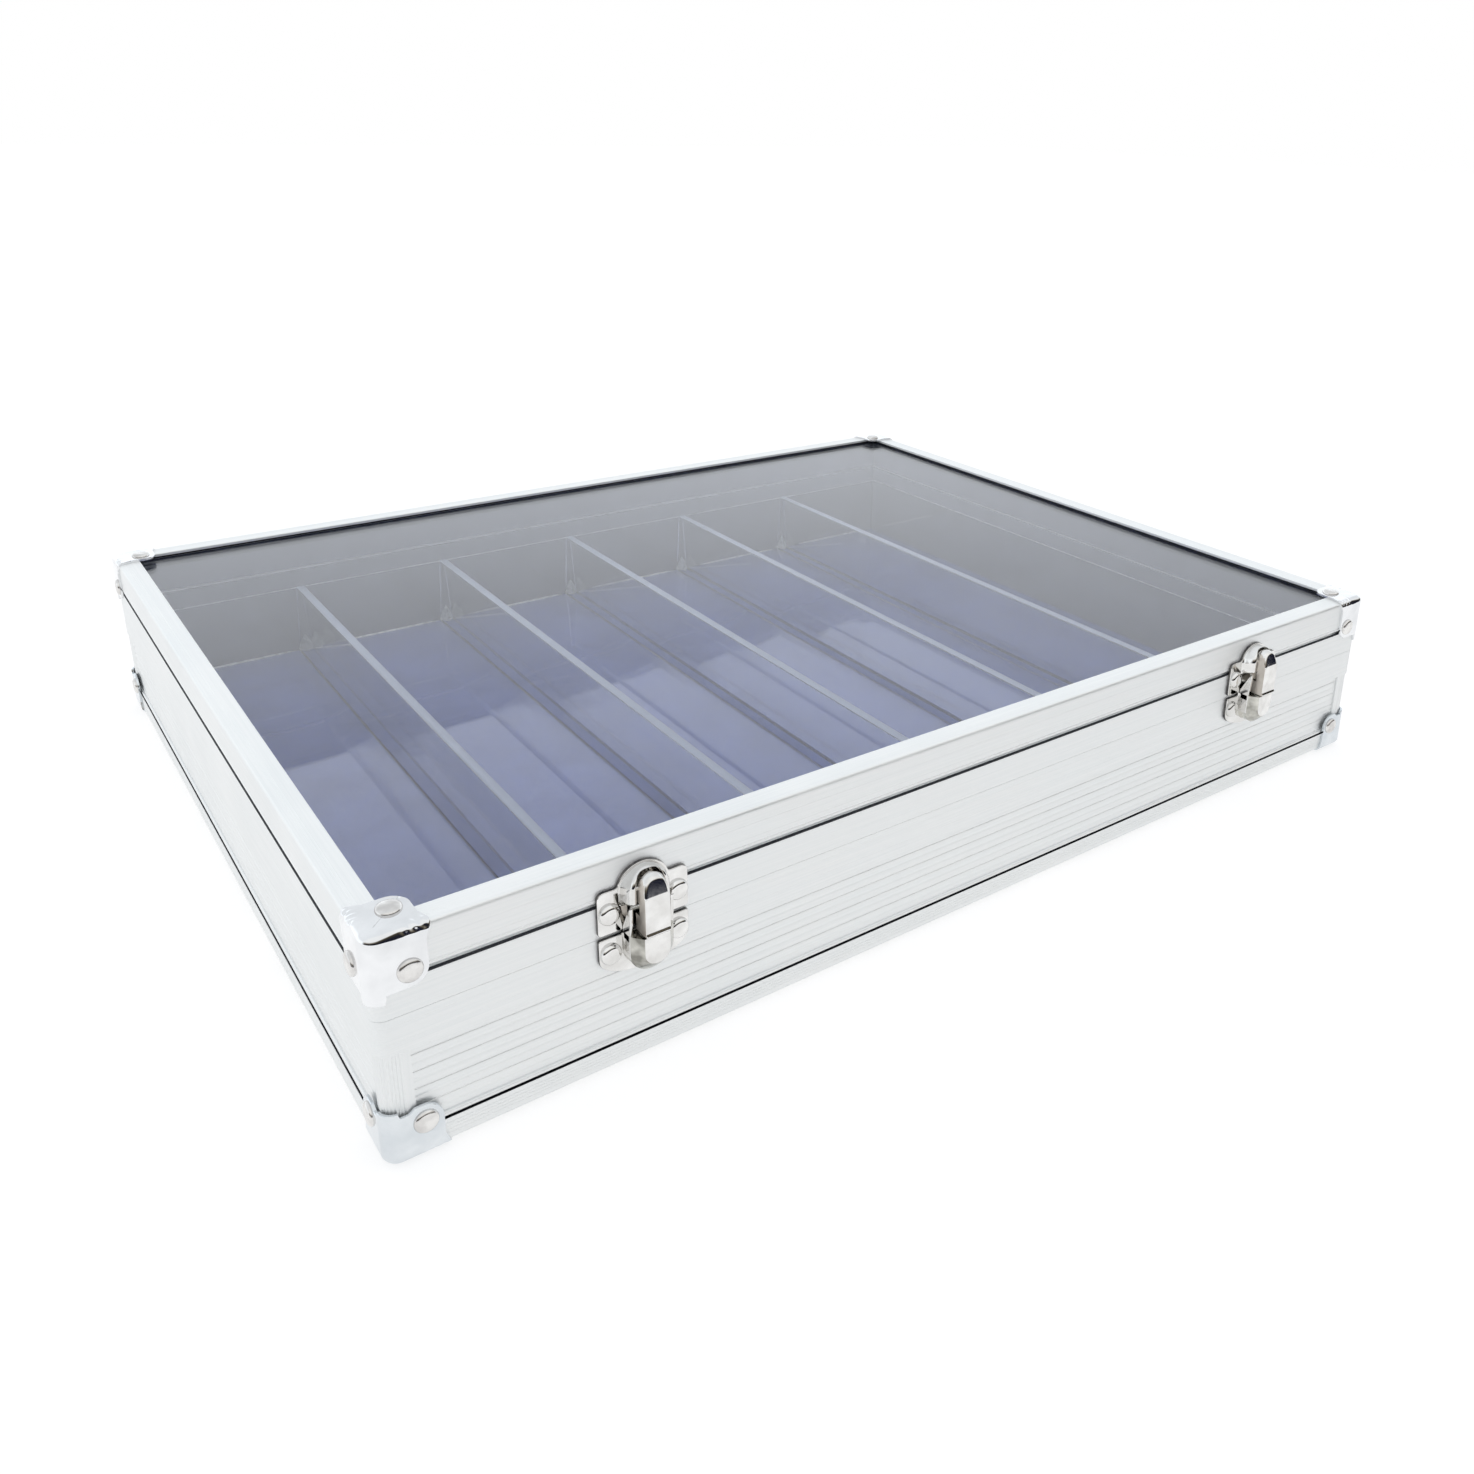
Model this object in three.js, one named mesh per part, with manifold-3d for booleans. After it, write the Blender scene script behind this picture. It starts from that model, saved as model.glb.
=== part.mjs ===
// Aluminium collection case with a glazed hinged lid, two front latches and a clear tray of six compartments.
// Millimetres. +X to the right of the latched front, +Y to the hinged back, +Z up.
// The origin is under the middle of the bounding box, on the plane that the bottom rivets stand on.
import * as THREE from "three";
import { mergeVertices } from "three/addons/utils/BufferGeometryUtils.js";
import Module from "manifold-3d";

const wasm = await Module();
wasm.setup();

// Case body, measured between the flat faces of opposite rails.
const CASE_LENGTH = 381;
const CASE_DEPTH = 305;
const CASE_TOP = 63.5;
const HALF_LENGTH = CASE_LENGTH / 2;
const HALF_DEPTH = CASE_DEPTH / 2;
const CORNER_RADIUS = 3.4;
const ARC_STEPS = 4;

// Clearances, and how far a cutting shape runs past what it cuts.
const FIT = 0.05;
const SEAM_GAP = 0.15;
const OVERCUT = 2;

// Corner caps: pressed sheet with a round lobe and a rivet on each of three faces.
const CAP_THICK = 0.8;
const CAP_GAP = 0.02;
const CAP_REACH = 14.8;
const CAP_LOBE_EDGE = 13.5;
const CAP_STRIP = 0.9;
const CAP_NECK = 4.4;
const CAP_EDGE_ROUND = 2.2;
const CAP_TAB_WIDE = 3.3;
const CAP_NOTCH_SIDE = 5.5;
const CAP_LOBE_FLAT_SIDE = 6.9;
const BASE_CAP_TOP = 15.5;
const BASE_TAB_TOP = 15.8;
const BASE_CAP_NOTCH = 14.4;
const LID_CAP_LOW = 48.6;
const LID_TAB_LOW = 46.2;
const LOBE_RADIUS = 4.6;
const CAP_RIVET_INSET = 9.2;
const BASE_RIVET_HEIGHT = 11.0;
const LID_RIVET_HEIGHT = 53.2;
const LEVEL_RIVET_INSET = 8.6;
const CAP_RIVET = { radius: 3.1, proud: 1.0, flat: 2.2, root: 0.5 };
const CAP_SKIN = CAP_THICK + CAP_GAP;

// Bottom rail: an angle that wraps the lower edge.
const RAIL_BOTTOM = CAP_RIVET.proud + CAP_SKIN;
const BOTTOM_LEG_TOP = 8.3;
const BOTTOM_LEG_THICK = 1.4;
const BOTTOM_FLANGE_THICK = 1.2;
const BOTTOM_FLANGE_WIDE = 7.8;
const BOTTOM_EDGE_ROUND = 1.4;
const FLANGE_TOP = RAIL_BOTTOM + BOTTOM_FLANGE_THICK;

// Ribbed wall panel between the corner columns.
const PANEL_FACE = 1.0;
const PANEL_BACK = 3.4;
const PANEL_FOOT = BOTTOM_LEG_THICK + FIT;
const BEAD_LOW = 8.75;
const BEAD_HIGH = 9.9;
const BEAD_FACE = 0.3;
const RIB_LOW = 11.8;
const RIB_COUNT = 4;
const MAIN_GROOVE = { deep: 0.4, wide: 0.7 };
const FINE_GROOVE = { deep: 0.2, wide: 0.5 };
const NARROW_RIB = 1.8;
const RIM_LOW = 31.5;
const RIB_PITCH = (RIM_LOW - RIB_LOW) / RIB_COUNT;

// Base rim and the tongue that the lid closes over.
const RIM_TOP = 41.6;
const TONGUE_FACE = 2.2;
const TONGUE_TOP = 44;

// Corner columns.
const COLUMN_SIDE = 7.6;
const COLUMN_PLAIN = 2.0;
const FLUTE_COUNT = 11;
const FLUTE_DEEP = 0.2;

// Lid skirt, glazing rail and glass.
const SKIRT_LOW = RIM_TOP + SEAM_GAP;
const SKIRT_THICK = 1.9;
const SKIRT_REBATE_TOP = TONGUE_TOP + 0.6;
const SKIRT_TOP = 50.9;
const LID_WALL_FACE = 1.6;
const LID_WALL_BACK = 4.4;
const LID_RAIL_LOW = 52.2;
const LID_BEAD_HIGH = 53.1;
const LID_BEAD_GROOVE = 0.35;
const LID_LEG_THICK = LID_WALL_FACE - FIT;
const LID_FLANGE_THICK = 1.2;
const LID_FLANGE_WIDE = 7.5;
const LID_EDGE_ROUND = 1.4;
const GASKET_THICK = 0.8;
const GASKET_OVERHANG = 0.3;
const GASKET_EDGE = 2.4;
const GLASS_THICK = 3.0;
const GLASS_EDGE = 2.4;
const LID_FLANGE_LOW = CASE_TOP - LID_FLANGE_THICK;
const GLASS_TOP = LID_FLANGE_LOW - GASKET_THICK;
const GLASS_LOW = GLASS_TOP - GLASS_THICK;

// Floor and linings.
const BOTTOM_PANEL_THICK = 3.0;
const LINING_THICK = 1.0;
const FLOOR_TOP = FLANGE_TOP + BOTTOM_PANEL_THICK + LINING_THICK;
const LINING_TOP = 43.4;

// Clear tray: a folded sheet with five hollow dividers.
const TRAY_SHEET = 0.8;
const TRAY_TOP = 36.5;
const TRAY_END_DROP = 0.4;
const DIVIDER_COUNT = 5;
const DIVIDER_TOP_WIDE = 3.3;
const DIVIDER_FOOT_WIDE = 6.7;
const DIVIDER_WALL = 0.82;

// Latches. Heights are counted from the seam between base and lid, "out" from the case's front.
const LATCH_FROM_END = 67.5;
const LATCH_OFFSET = HALF_LENGTH - LATCH_FROM_END;
const LATCH_SHEET = 1.0;
const LATCH_HALF_WIDE = 12.7;
const LATCH_RIVET_OFFSET = 9.7;
const LATCH_RIVET = { radius: 2.85, proud: 1.4, flat: 1.6, root: 0.4 };

// Pin, and the lever that hangs from it.
const LEVER_PIN_RISE = 14.0;
const LEVER_PIN_OUT = 4.6;
const LEVER_PIN_RADIUS = 0.8;
const PIN_RUNNING_GAP = 0.05;
const LEVER_HALF_WIDE = 3.5;
const LEVER_FACE_OUT = 8.5;
const LEVER_FACE_TOP = LEVER_PIN_RISE - 1.3;
const LEVER_BACK_OUT = 3.4;
const LEVER_CROWN_OVER_PIN = 2.6;
const LEVER_CROWN = LEVER_PIN_RISE + LEVER_CROWN_OVER_PIN;
const LEVER_CROWN_CORNER = 1.3;
const LEVER_CROWN_DROP = 1.0;
const LEVER_TIP = 1.9;
const LEVER_TIP_BEVEL = 0.8;
const LEVER_FACE_LOW = LEVER_TIP + 1.0;
const LEVER_LIP_OUT = 9.8;
const LEVER_LIP_THICK = 0.6;
const LEVER_NOTCH_TALL = 3.6;
const LEVER_NOTCH_OUT = 5.4;
const LEVER_NOTCH_UNDER_PIN = 4.0;
const LEVER_NOTCH_TOP = LEVER_PIN_RISE - LEVER_NOTCH_UNDER_PIN;
const LEVER_WALL = 1.2;
const LEVER_CHEEK = 1.0;
const LEVER_CROWN_WALL = 1.1;
const LEVER_FACE_TOP_WALL = 0.3;

// Upper plate with the arched hump that the lever sits in.
const PLATE_LOW = 1.1;
const PLATE_EAR_TOP = 13.4;
const PLATE_CORNER = 2.0;
const UPPER_RIVET_HEIGHT = 6.9;
const HUMP_RADIUS = 6.4;
const HUMP_FLARE = 1.0;
const HUMP_CENTRE = LEVER_PIN_RISE - 2.2;
const HUMP_LOW = HUMP_CENTRE - 2.4;
const HUMP_OUT = 5.2;
const HUMP_BEVEL = 1.0;
const LEVER_PIN_HALF_LONG = HUMP_RADIUS - 0.8;
const SLOT_HALF_WIDE = LEVER_HALF_WIDE + 0.3;
const SLOT_TOP = LEVER_CROWN + 0.5;
const SLOT_CORNER = 0.6;

// Lower plate with the cup under the lever's tip and a pointed cheek on each side of the lever.
const CATCH_TOP = -0.1;
const CATCH_SHOULDER = -6.1;
const CATCH_LOW = -11.9;
const LOWER_RIVET_HEIGHT = -4.6;
const CUP_TOP = LEVER_TIP - 0.9;
const CUP_HALF_WIDE = 6.2;
const CUP_FACE_HALF_WIDE = 3.6;
const CUP_CENTRE = -4.3;
const CUP_FACE_CENTRE = -3.6;
const CUP_SIDE_OUT = 4.7;
const CUP_FACE_OUT = 7.9;
const CUP_SHEET = 1.0;
const CHEEK_ROOT = -0.6;
const CHEEK_TIP = 8.6;
const CHEEK_SHOULDER = 1.9;

// Hinges.
const HINGE_FROM_END = 67.5;
const HINGE_OFFSET = HALF_LENGTH - HINGE_FROM_END;
const HINGE_HALF_WIDE = 15;
const HINGE_LEAF_THICK = 1.2;
const HINGE_LEAF_TALL = 13.0;
const HINGE_AXIS_OUT = 2.7;
const KNUCKLE_RADIUS = 2.5;
const KNUCKLE_GAP = 0.2;
const KNUCKLE_SWING_GAP = 0.3;
const HINGE_PIN_RADIUS = 1.2;
const HINGE_RIVET_OFFSET = 9.0;
const HINGE_RIVET = { radius: 2.4, proud: 1.1, flat: 1.4, root: 0.3 };

const ROUND_STEPS = 20;
const RIVET_STEPS = 14;

// The lever lip is the foremost point and the hinge knuckles are the rearmost.
const FRONT_REACH = LEVER_LIP_OUT;
const BACK_REACH = HINGE_AXIS_OUT + KNUCKLE_RADIUS;
const CENTRING_SHIFT = (FRONT_REACH - BACK_REACH) / 2;

const looks = {
  aluminium: { color: 0xe4e6e6, roughness: 0.38, metalness: 0.9 },
  ribbed: { color: 0xdcdfe0, roughness: 0.45, metalness: 0.85 },
  chrome: { color: 0xd2d4d6, roughness: 0.14, metalness: 1.0 },
  steel: { color: 0xb8babd, roughness: 0.3, metalness: 1.0 },
  glass: { color: 0xa9bcc4, roughness: 0.04, metalness: 0.0 },
  tray: { color: 0xc6cee0, roughness: 0.12, metalness: 0.0 },
  felt: { color: 0x565c86, roughness: 0.95, metalness: 0.0 },
  wallFelt: { color: 0x6f7480, roughness: 0.95, metalness: 0.0 },
  rubber: { color: 0x1c1e22, roughness: 0.7, metalness: 0.0 },
  board: { color: 0x2b2d31, roughness: 0.6, metalness: 0.0 },
};

const caseGroup = new THREE.Group();
caseGroup.name = "knife_display_case";
caseGroup.position.y = CENTRING_SHIFT;

function solidFrom(geometry) {
  const bare = geometry.index ? geometry.toNonIndexed() : geometry.clone();
  bare.deleteAttribute("normal");
  bare.deleteAttribute("uv");
  const merged = mergeVertices(bare, 1e-4);
  const corners = merged.index.array;
  const kept = [];
  for (let i = 0; i < corners.length; i += 3) {
    const [a, b, c] = [corners[i], corners[i + 1], corners[i + 2]];
    if (a !== b && b !== c && c !== a) kept.push(a, b, c);
  }
  const vertProperties = merged.attributes.position.array;
  const build = (triVerts) =>
    new wasm.Manifold(
      new wasm.Mesh({ numProp: 3, vertProperties, triVerts: new Uint32Array(triVerts) }),
    );
  const solid = build(kept);
  return solid.volume() < 0 ? build(kept.reverse()) : solid;
}

function geometryFrom(solid) {
  const mesh = solid.getMesh();
  const geometry = new THREE.BufferGeometry();
  const points = new Float32Array(mesh.numVert * 3);
  for (let i = 0; i < mesh.numVert; i++) {
    const start = i * mesh.numProp;
    points.set(mesh.vertProperties.subarray(start, start + 3), i * 3);
  }
  geometry.setAttribute("position", new THREE.BufferAttribute(points, 3));
  geometry.setIndex(new THREE.BufferAttribute(mesh.triVerts, 1));
  const faceted = geometry.toNonIndexed();
  faceted.computeVertexNormals();
  return faceted;
}

function add(name, geometry, look, mirror = [1, 1]) {
  const mesh = new THREE.Mesh(geometry, new THREE.MeshStandardMaterial(look));
  mesh.name = name;
  mesh.scale.set(mirror[0], mirror[1], 1);
  caseGroup.add(mesh);
}

function outline(points) {
  return new THREE.Shape(points.map(([x, y]) => new THREE.Vector2(x, y)));
}

function prism(points, depth, steps = 1) {
  return new THREE.ExtrudeGeometry(outline(points), {
    depth,
    steps,
    bevelEnabled: false,
  });
}

function block(low, high) {
  const size = high.map((value, i) => value - low[i]);
  const geometry = new THREE.BoxGeometry(...size);
  const middle = high.map((value, i) => (value + low[i]) / 2);
  return geometry.translate(...middle);
}

// A closed list of [across, up] points becomes a bar along X between two X values.
function barAlongX(points, fromX, toX) {
  const geometry = prism(points, toX - fromX);
  return geometry
    .applyMatrix4(
      new THREE.Matrix4().set(0, 0, 1, fromX, 1, 0, 0, 0, 0, 1, 0, 0, 0, 0, 0, 1),
    );
}

// A closed list of [across, up] points becomes a plate that faces the front, from one Y value back to another.
function plateFacingFront(points, frontY, backY) {
  const geometry = prism(points, backY - frontY);
  return geometry
    .rotateX(Math.PI / 2)
    .translate(0, backY, 0);
}

// A round head that grows from z = 0 upwards, with a short root below it.
function rivetHead({ radius, proud, flat, root }) {
  const profile = [
    [0, -root],
    [radius, -root],
    [radius, proud / 2],
    [flat, proud],
    [0, proud],
  ].map(([x, y]) => new THREE.Vector2(x, y));
  return new THREE.LatheGeometry(profile, RIVET_STEPS).rotateX(Math.PI / 2);
}

// The four sides of the case: turn from the front, half the run and half the distance across.
const sides = [
  { name: "front", turn: 0, halfRun: HALF_LENGTH, halfAcross: HALF_DEPTH },
  { name: "right", turn: 1, halfRun: HALF_DEPTH, halfAcross: HALF_LENGTH },
  { name: "back", turn: 2, halfRun: HALF_LENGTH, halfAcross: HALF_DEPTH },
  { name: "left", turn: 3, halfRun: HALF_DEPTH, halfAcross: HALF_LENGTH },
];

// A profile of [inward, up] points swept along one side and round half of each corner, mitred at 45 degrees.
// Points deeper than the corner radius meet in a plain mitre.
function mitredSide(profile, side) {
  const stations = [];
  for (let i = ARC_STEPS; i >= 0; i--)
    stations.push({ end: -1, angle: (-Math.PI / 4) * (i / ARC_STEPS) });
  for (let i = 0; i <= ARC_STEPS; i++)
    stations.push({ end: 1, angle: (Math.PI / 4) * (i / ARC_STEPS) });
  const last = stations.length - 1;
  const geometry = prism(profile, 1, last);
  const points = geometry.attributes.position;
  for (let i = 0; i < points.count; i++) {
    const inward = points.getX(i);
    const up = points.getY(i);
    const { end, angle } = stations[Math.round(points.getZ(i) * last)];
    const reach = Math.max(CORNER_RADIUS - inward, 0);
    const deeper = Math.max(inward - CORNER_RADIUS, 0);
    const centre = side.halfRun - CORNER_RADIUS - deeper;
    const x = end * centre + reach * Math.sin(angle);
    const y = -side.halfAcross + CORNER_RADIUS + deeper - reach * Math.cos(angle);
    points.setXYZ(i, x, y, up);
  }
  return solidFrom(geometry.rotateZ((side.turn * Math.PI) / 2));
}

// A quarter circle of [inward, up] points, for an edge that is rounded between two faces.
function roundedEdge(centreIn, centreUp, radius, fromAngle, toAngle, steps = 3) {
  const points = [];
  for (let i = 0; i <= steps; i++) {
    const angle = fromAngle + ((toAngle - fromAngle) * i) / steps;
    const inward = centreIn + radius * Math.cos(angle);
    points.push([inward, centreUp + radius * Math.sin(angle)]);
  }
  return points;
}

const bottomRailProfile = [
  ...roundedEdge(
    BOTTOM_EDGE_ROUND,
    RAIL_BOTTOM + BOTTOM_EDGE_ROUND,
    BOTTOM_EDGE_ROUND,
    Math.PI,
    1.5 * Math.PI,
  ),
  [BOTTOM_FLANGE_WIDE, RAIL_BOTTOM],
  [BOTTOM_FLANGE_WIDE, FLANGE_TOP],
  [BOTTOM_LEG_THICK, FLANGE_TOP],
  [BOTTOM_LEG_THICK, BOTTOM_LEG_TOP],
  [0, BOTTOM_LEG_TOP],
];

function ribbedPanelProfile() {
  const points = [
    [PANEL_BACK, FLANGE_TOP],
    [PANEL_BACK, RIM_LOW],
    [PANEL_FACE, RIM_LOW],
  ];
  for (let rib = RIB_COUNT - 1; rib >= 0; rib--) {
    const low = RIB_LOW + rib * RIB_PITCH;
    const fine = low + MAIN_GROOVE.wide + NARROW_RIB;
    points.push(
      [PANEL_FACE, fine + FINE_GROOVE.wide],
      [PANEL_FACE + FINE_GROOVE.deep, fine + FINE_GROOVE.wide / 2],
      [PANEL_FACE, fine],
      [PANEL_FACE, low + MAIN_GROOVE.wide],
      [PANEL_FACE + MAIN_GROOVE.deep, low + MAIN_GROOVE.wide / 2],
    );
    if (rib > 0) points.push([PANEL_FACE, low]);
  }
  points.push(
    [BEAD_FACE, BEAD_HIGH],
    [BEAD_FACE, BEAD_LOW],
    [PANEL_FOOT, BEAD_LOW],
    [PANEL_FOOT, FLANGE_TOP],
  );
  return points;
}

const rimProfile = [
  [0, RIM_LOW],
  [PANEL_BACK, RIM_LOW],
  [PANEL_BACK, TONGUE_TOP],
  [TONGUE_FACE, TONGUE_TOP],
  [TONGUE_FACE, RIM_TOP],
  [0, RIM_TOP],
];

const skirtProfile = [
  [0, SKIRT_LOW],
  [SKIRT_THICK, SKIRT_LOW],
  [SKIRT_THICK, SKIRT_REBATE_TOP],
  [LID_WALL_BACK, SKIRT_REBATE_TOP],
  [LID_WALL_BACK, GLASS_LOW],
  [LID_WALL_FACE, GLASS_LOW],
  [LID_WALL_FACE, SKIRT_TOP],
  [0, SKIRT_TOP],
];

const lidRailProfile = [
  [0, LID_RAIL_LOW],
  [LID_LEG_THICK, LID_RAIL_LOW],
  [LID_LEG_THICK, LID_FLANGE_LOW],
  [LID_FLANGE_WIDE, LID_FLANGE_LOW],
  [LID_FLANGE_WIDE, CASE_TOP],
  ...roundedEdge(
    LID_EDGE_ROUND,
    CASE_TOP - LID_EDGE_ROUND,
    LID_EDGE_ROUND,
    0.5 * Math.PI,
    Math.PI,
  ),
  [0, LID_BEAD_HIGH + LID_BEAD_GROOVE],
  [LID_BEAD_GROOVE, LID_BEAD_HIGH],
  [0, LID_BEAD_HIGH - LID_BEAD_GROOVE],
];

for (const side of sides) {
  const rail = mitredSide(bottomRailProfile, side);
  add("bottom_rail_" + side.name, geometryFrom(rail), looks.aluminium);

  const panelHalf = side.halfRun - COLUMN_SIDE - FIT;
  const panel = barAlongX(ribbedPanelProfile(), -panelHalf, panelHalf)
    .translate(0, -side.halfAcross, 0)
    .rotateZ((side.turn * Math.PI) / 2);
  add("ribbed_panel_" + side.name, geometryFrom(solidFrom(panel)), looks.ribbed);

  const rim = mitredSide(rimProfile, side);
  add("base_rim_" + side.name, geometryFrom(rim), looks.aluminium);

  const skirt = mitredSide(skirtProfile, side);
  add("lid_skirt_" + side.name, geometryFrom(skirt), looks.aluminium);

  const lidRail = mitredSide(lidRailProfile, side);
  add("lid_rail_" + side.name, geometryFrom(lidRail), looks.aluminium);
}

// Glass and the dark strips that seal it under the rail flanges.
add(
  "glass_pane",
  block(
    [-HALF_LENGTH + GLASS_EDGE, -HALF_DEPTH + GLASS_EDGE, GLASS_LOW],
    [HALF_LENGTH - GLASS_EDGE, HALF_DEPTH - GLASS_EDGE, GLASS_TOP],
  ),
  looks.glass,
);
const GASKET_INNER = LID_FLANGE_WIDE + GASKET_OVERHANG;
for (const side of sides) {
  const along = side.turn % 2 === 0 ? GASKET_EDGE : GASKET_INNER + FIT;
  const strip = block(
    [-side.halfRun + along, -side.halfAcross + GASKET_EDGE, GLASS_TOP],
    [side.halfRun - along, -side.halfAcross + GASKET_INNER, LID_FLANGE_LOW],
  ).rotateZ((side.turn * Math.PI) / 2);
  add("glass_seal_" + side.name, strip, looks.rubber);
}

// Bottom panel, floor lining and wall linings.
const INNER_FACE = PANEL_BACK + FIT;
add(
  "bottom_panel",
  block(
    [-HALF_LENGTH + INNER_FACE, -HALF_DEPTH + INNER_FACE, FLANGE_TOP],
    [HALF_LENGTH - INNER_FACE, HALF_DEPTH - INNER_FACE, FLANGE_TOP + BOTTOM_PANEL_THICK],
  ),
  looks.board,
);
add(
  "floor_lining",
  block(
    [-HALF_LENGTH + INNER_FACE, -HALF_DEPTH + INNER_FACE, FLOOR_TOP - LINING_THICK],
    [HALF_LENGTH - INNER_FACE, HALF_DEPTH - INNER_FACE, FLOOR_TOP],
  ),
  looks.felt,
);
const LINING_FACE = INNER_FACE + LINING_THICK;
for (const side of sides) {
  const along = side.turn % 2 === 0 ? INNER_FACE : LINING_FACE + FIT;
  const lining = block(
    [-side.halfRun + along, -side.halfAcross + INNER_FACE, FLOOR_TOP],
    [side.halfRun - along, -side.halfAcross + LINING_FACE, LINING_TOP],
  ).rotateZ((side.turn * Math.PI) / 2);
  add("wall_lining_" + side.name, lining, looks.wallFelt);
}

// Clear tray. Its sheet runs down one wall, over every divider and up the other wall.
const TRAY_EDGE = LINING_FACE + FIT;
const TRAY_HALF_LENGTH = HALF_LENGTH - TRAY_EDGE;
const TRAY_HALF_DEPTH = HALF_DEPTH - TRAY_EDGE;
const TRAY_FLOOR = FLOOR_TOP + TRAY_SHEET;
const DIVIDER_PITCH = (2 * TRAY_HALF_LENGTH) / (DIVIDER_COUNT + 1);

function traySection() {
  const upper = [
    [-TRAY_HALF_LENGTH, TRAY_TOP],
    [-TRAY_HALF_LENGTH + TRAY_SHEET, TRAY_TOP],
    [-TRAY_HALF_LENGTH + TRAY_SHEET, TRAY_FLOOR],
  ];
  const lower = [[-TRAY_HALF_LENGTH, FLOOR_TOP]];
  for (let i = 0; i < DIVIDER_COUNT; i++) {
    const middle = (i - (DIVIDER_COUNT - 1) / 2) * DIVIDER_PITCH;
    upper.push(
      [middle - DIVIDER_FOOT_WIDE / 2, TRAY_FLOOR],
      [middle - DIVIDER_TOP_WIDE / 2, TRAY_TOP],
      [middle + DIVIDER_TOP_WIDE / 2, TRAY_TOP],
      [middle + DIVIDER_FOOT_WIDE / 2, TRAY_FLOOR],
    );
    lower.push(
      [middle - DIVIDER_FOOT_WIDE / 2 + DIVIDER_WALL, FLOOR_TOP],
      [middle - DIVIDER_TOP_WIDE / 2 + DIVIDER_WALL, TRAY_TOP - TRAY_SHEET],
      [middle + DIVIDER_TOP_WIDE / 2 - DIVIDER_WALL, TRAY_TOP - TRAY_SHEET],
      [middle + DIVIDER_FOOT_WIDE / 2 - DIVIDER_WALL, FLOOR_TOP],
    );
  }
  upper.push(
    [TRAY_HALF_LENGTH - TRAY_SHEET, TRAY_FLOOR],
    [TRAY_HALF_LENGTH - TRAY_SHEET, TRAY_TOP],
    [TRAY_HALF_LENGTH, TRAY_TOP],
  );
  lower.push([TRAY_HALF_LENGTH, FLOOR_TOP]);
  return [...lower, ...upper.reverse()];
}

// The end walls stop a little inside the folded sheet on every side.
function makeTray() {
  const sheet = plateFacingFront(traySection(), -TRAY_HALF_DEPTH, TRAY_HALF_DEPTH);
  const reach = TRAY_HALF_LENGTH - TRAY_SHEET / 2;
  const endWall = [
    [-reach, FLOOR_TOP + TRAY_SHEET / 2],
    [reach, FLOOR_TOP + TRAY_SHEET / 2],
    [reach, TRAY_TOP - TRAY_END_DROP],
    [-reach, TRAY_TOP - TRAY_END_DROP],
  ];
  const outer = TRAY_HALF_DEPTH - FIT;
  const inner = TRAY_HALF_DEPTH - TRAY_SHEET;
  return solidFrom(sheet)
    .add(solidFrom(plateFacingFront(endWall, -outer, -inner)))
    .add(solidFrom(plateFacingFront(endWall, inner, outer)));
}
add("divider_tray", geometryFrom(makeTray()), looks.tray);

// Fluted corner column, drawn at the front left corner with [x, y] measured inward from both faces.
function columnSection() {
  const radius = CORNER_RADIUS - PANEL_FACE;
  const straight = COLUMN_SIDE - COLUMN_PLAIN - CORNER_RADIUS;
  const arc = (radius * Math.PI) / 2;
  const run = 2 * straight + arc;
  const points = [[COLUMN_SIDE, PANEL_FACE]];
  for (let i = 0; i <= 2 * FLUTE_COUNT; i++) {
    const along = (run * i) / (2 * FLUTE_COUNT);
    const sunk = i % 2 === 1 ? FLUTE_DEEP : 0;
    if (along < straight) {
      points.push([COLUMN_SIDE - COLUMN_PLAIN - along, PANEL_FACE + sunk]);
    } else if (along > straight + arc) {
      points.push([PANEL_FACE + sunk, CORNER_RADIUS + along - straight - arc]);
    } else {
      const angle = -Math.PI / 2 - (along - straight) / radius;
      const reach = radius - sunk;
      points.push([
        CORNER_RADIUS + reach * Math.cos(angle),
        CORNER_RADIUS + reach * Math.sin(angle),
      ]);
    }
  }
  points.push(
    [PANEL_FACE, COLUMN_SIDE],
    [PANEL_BACK, COLUMN_SIDE],
    [PANEL_BACK, PANEL_BACK],
    [COLUMN_SIDE, PANEL_BACK],
  );
  return points.reverse();
}

// Region of the plan outside the inner face of the bottom rail's leg, near a case corner.
function legRegion() {
  const far = 2 * COLUMN_SIDE;
  return [
    [-OVERCUT, -OVERCUT],
    [far, -OVERCUT],
    [far, PANEL_FOOT],
    ...roundedEdge(
      CORNER_RADIUS,
      CORNER_RADIUS,
      CORNER_RADIUS - PANEL_FOOT,
      1.5 * Math.PI,
      Math.PI,
      2 * ARC_STEPS,
    ),
    [PANEL_FOOT, far],
    [-OVERCUT, far],
  ];
}

// The foot of a column is cut back behind the bottom rail's leg.
function makeColumn() {
  const column = prism(columnSection(), RIM_LOW - FLANGE_TOP);
  column.translate(-HALF_LENGTH, -HALF_DEPTH, FLANGE_TOP);
  const recess = prism(legRegion(), BOTTOM_LEG_TOP);
  recess.translate(-HALF_LENGTH, -HALF_DEPTH, FIT);
  return solidFrom(column).subtract(solidFrom(recess));
}

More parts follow.
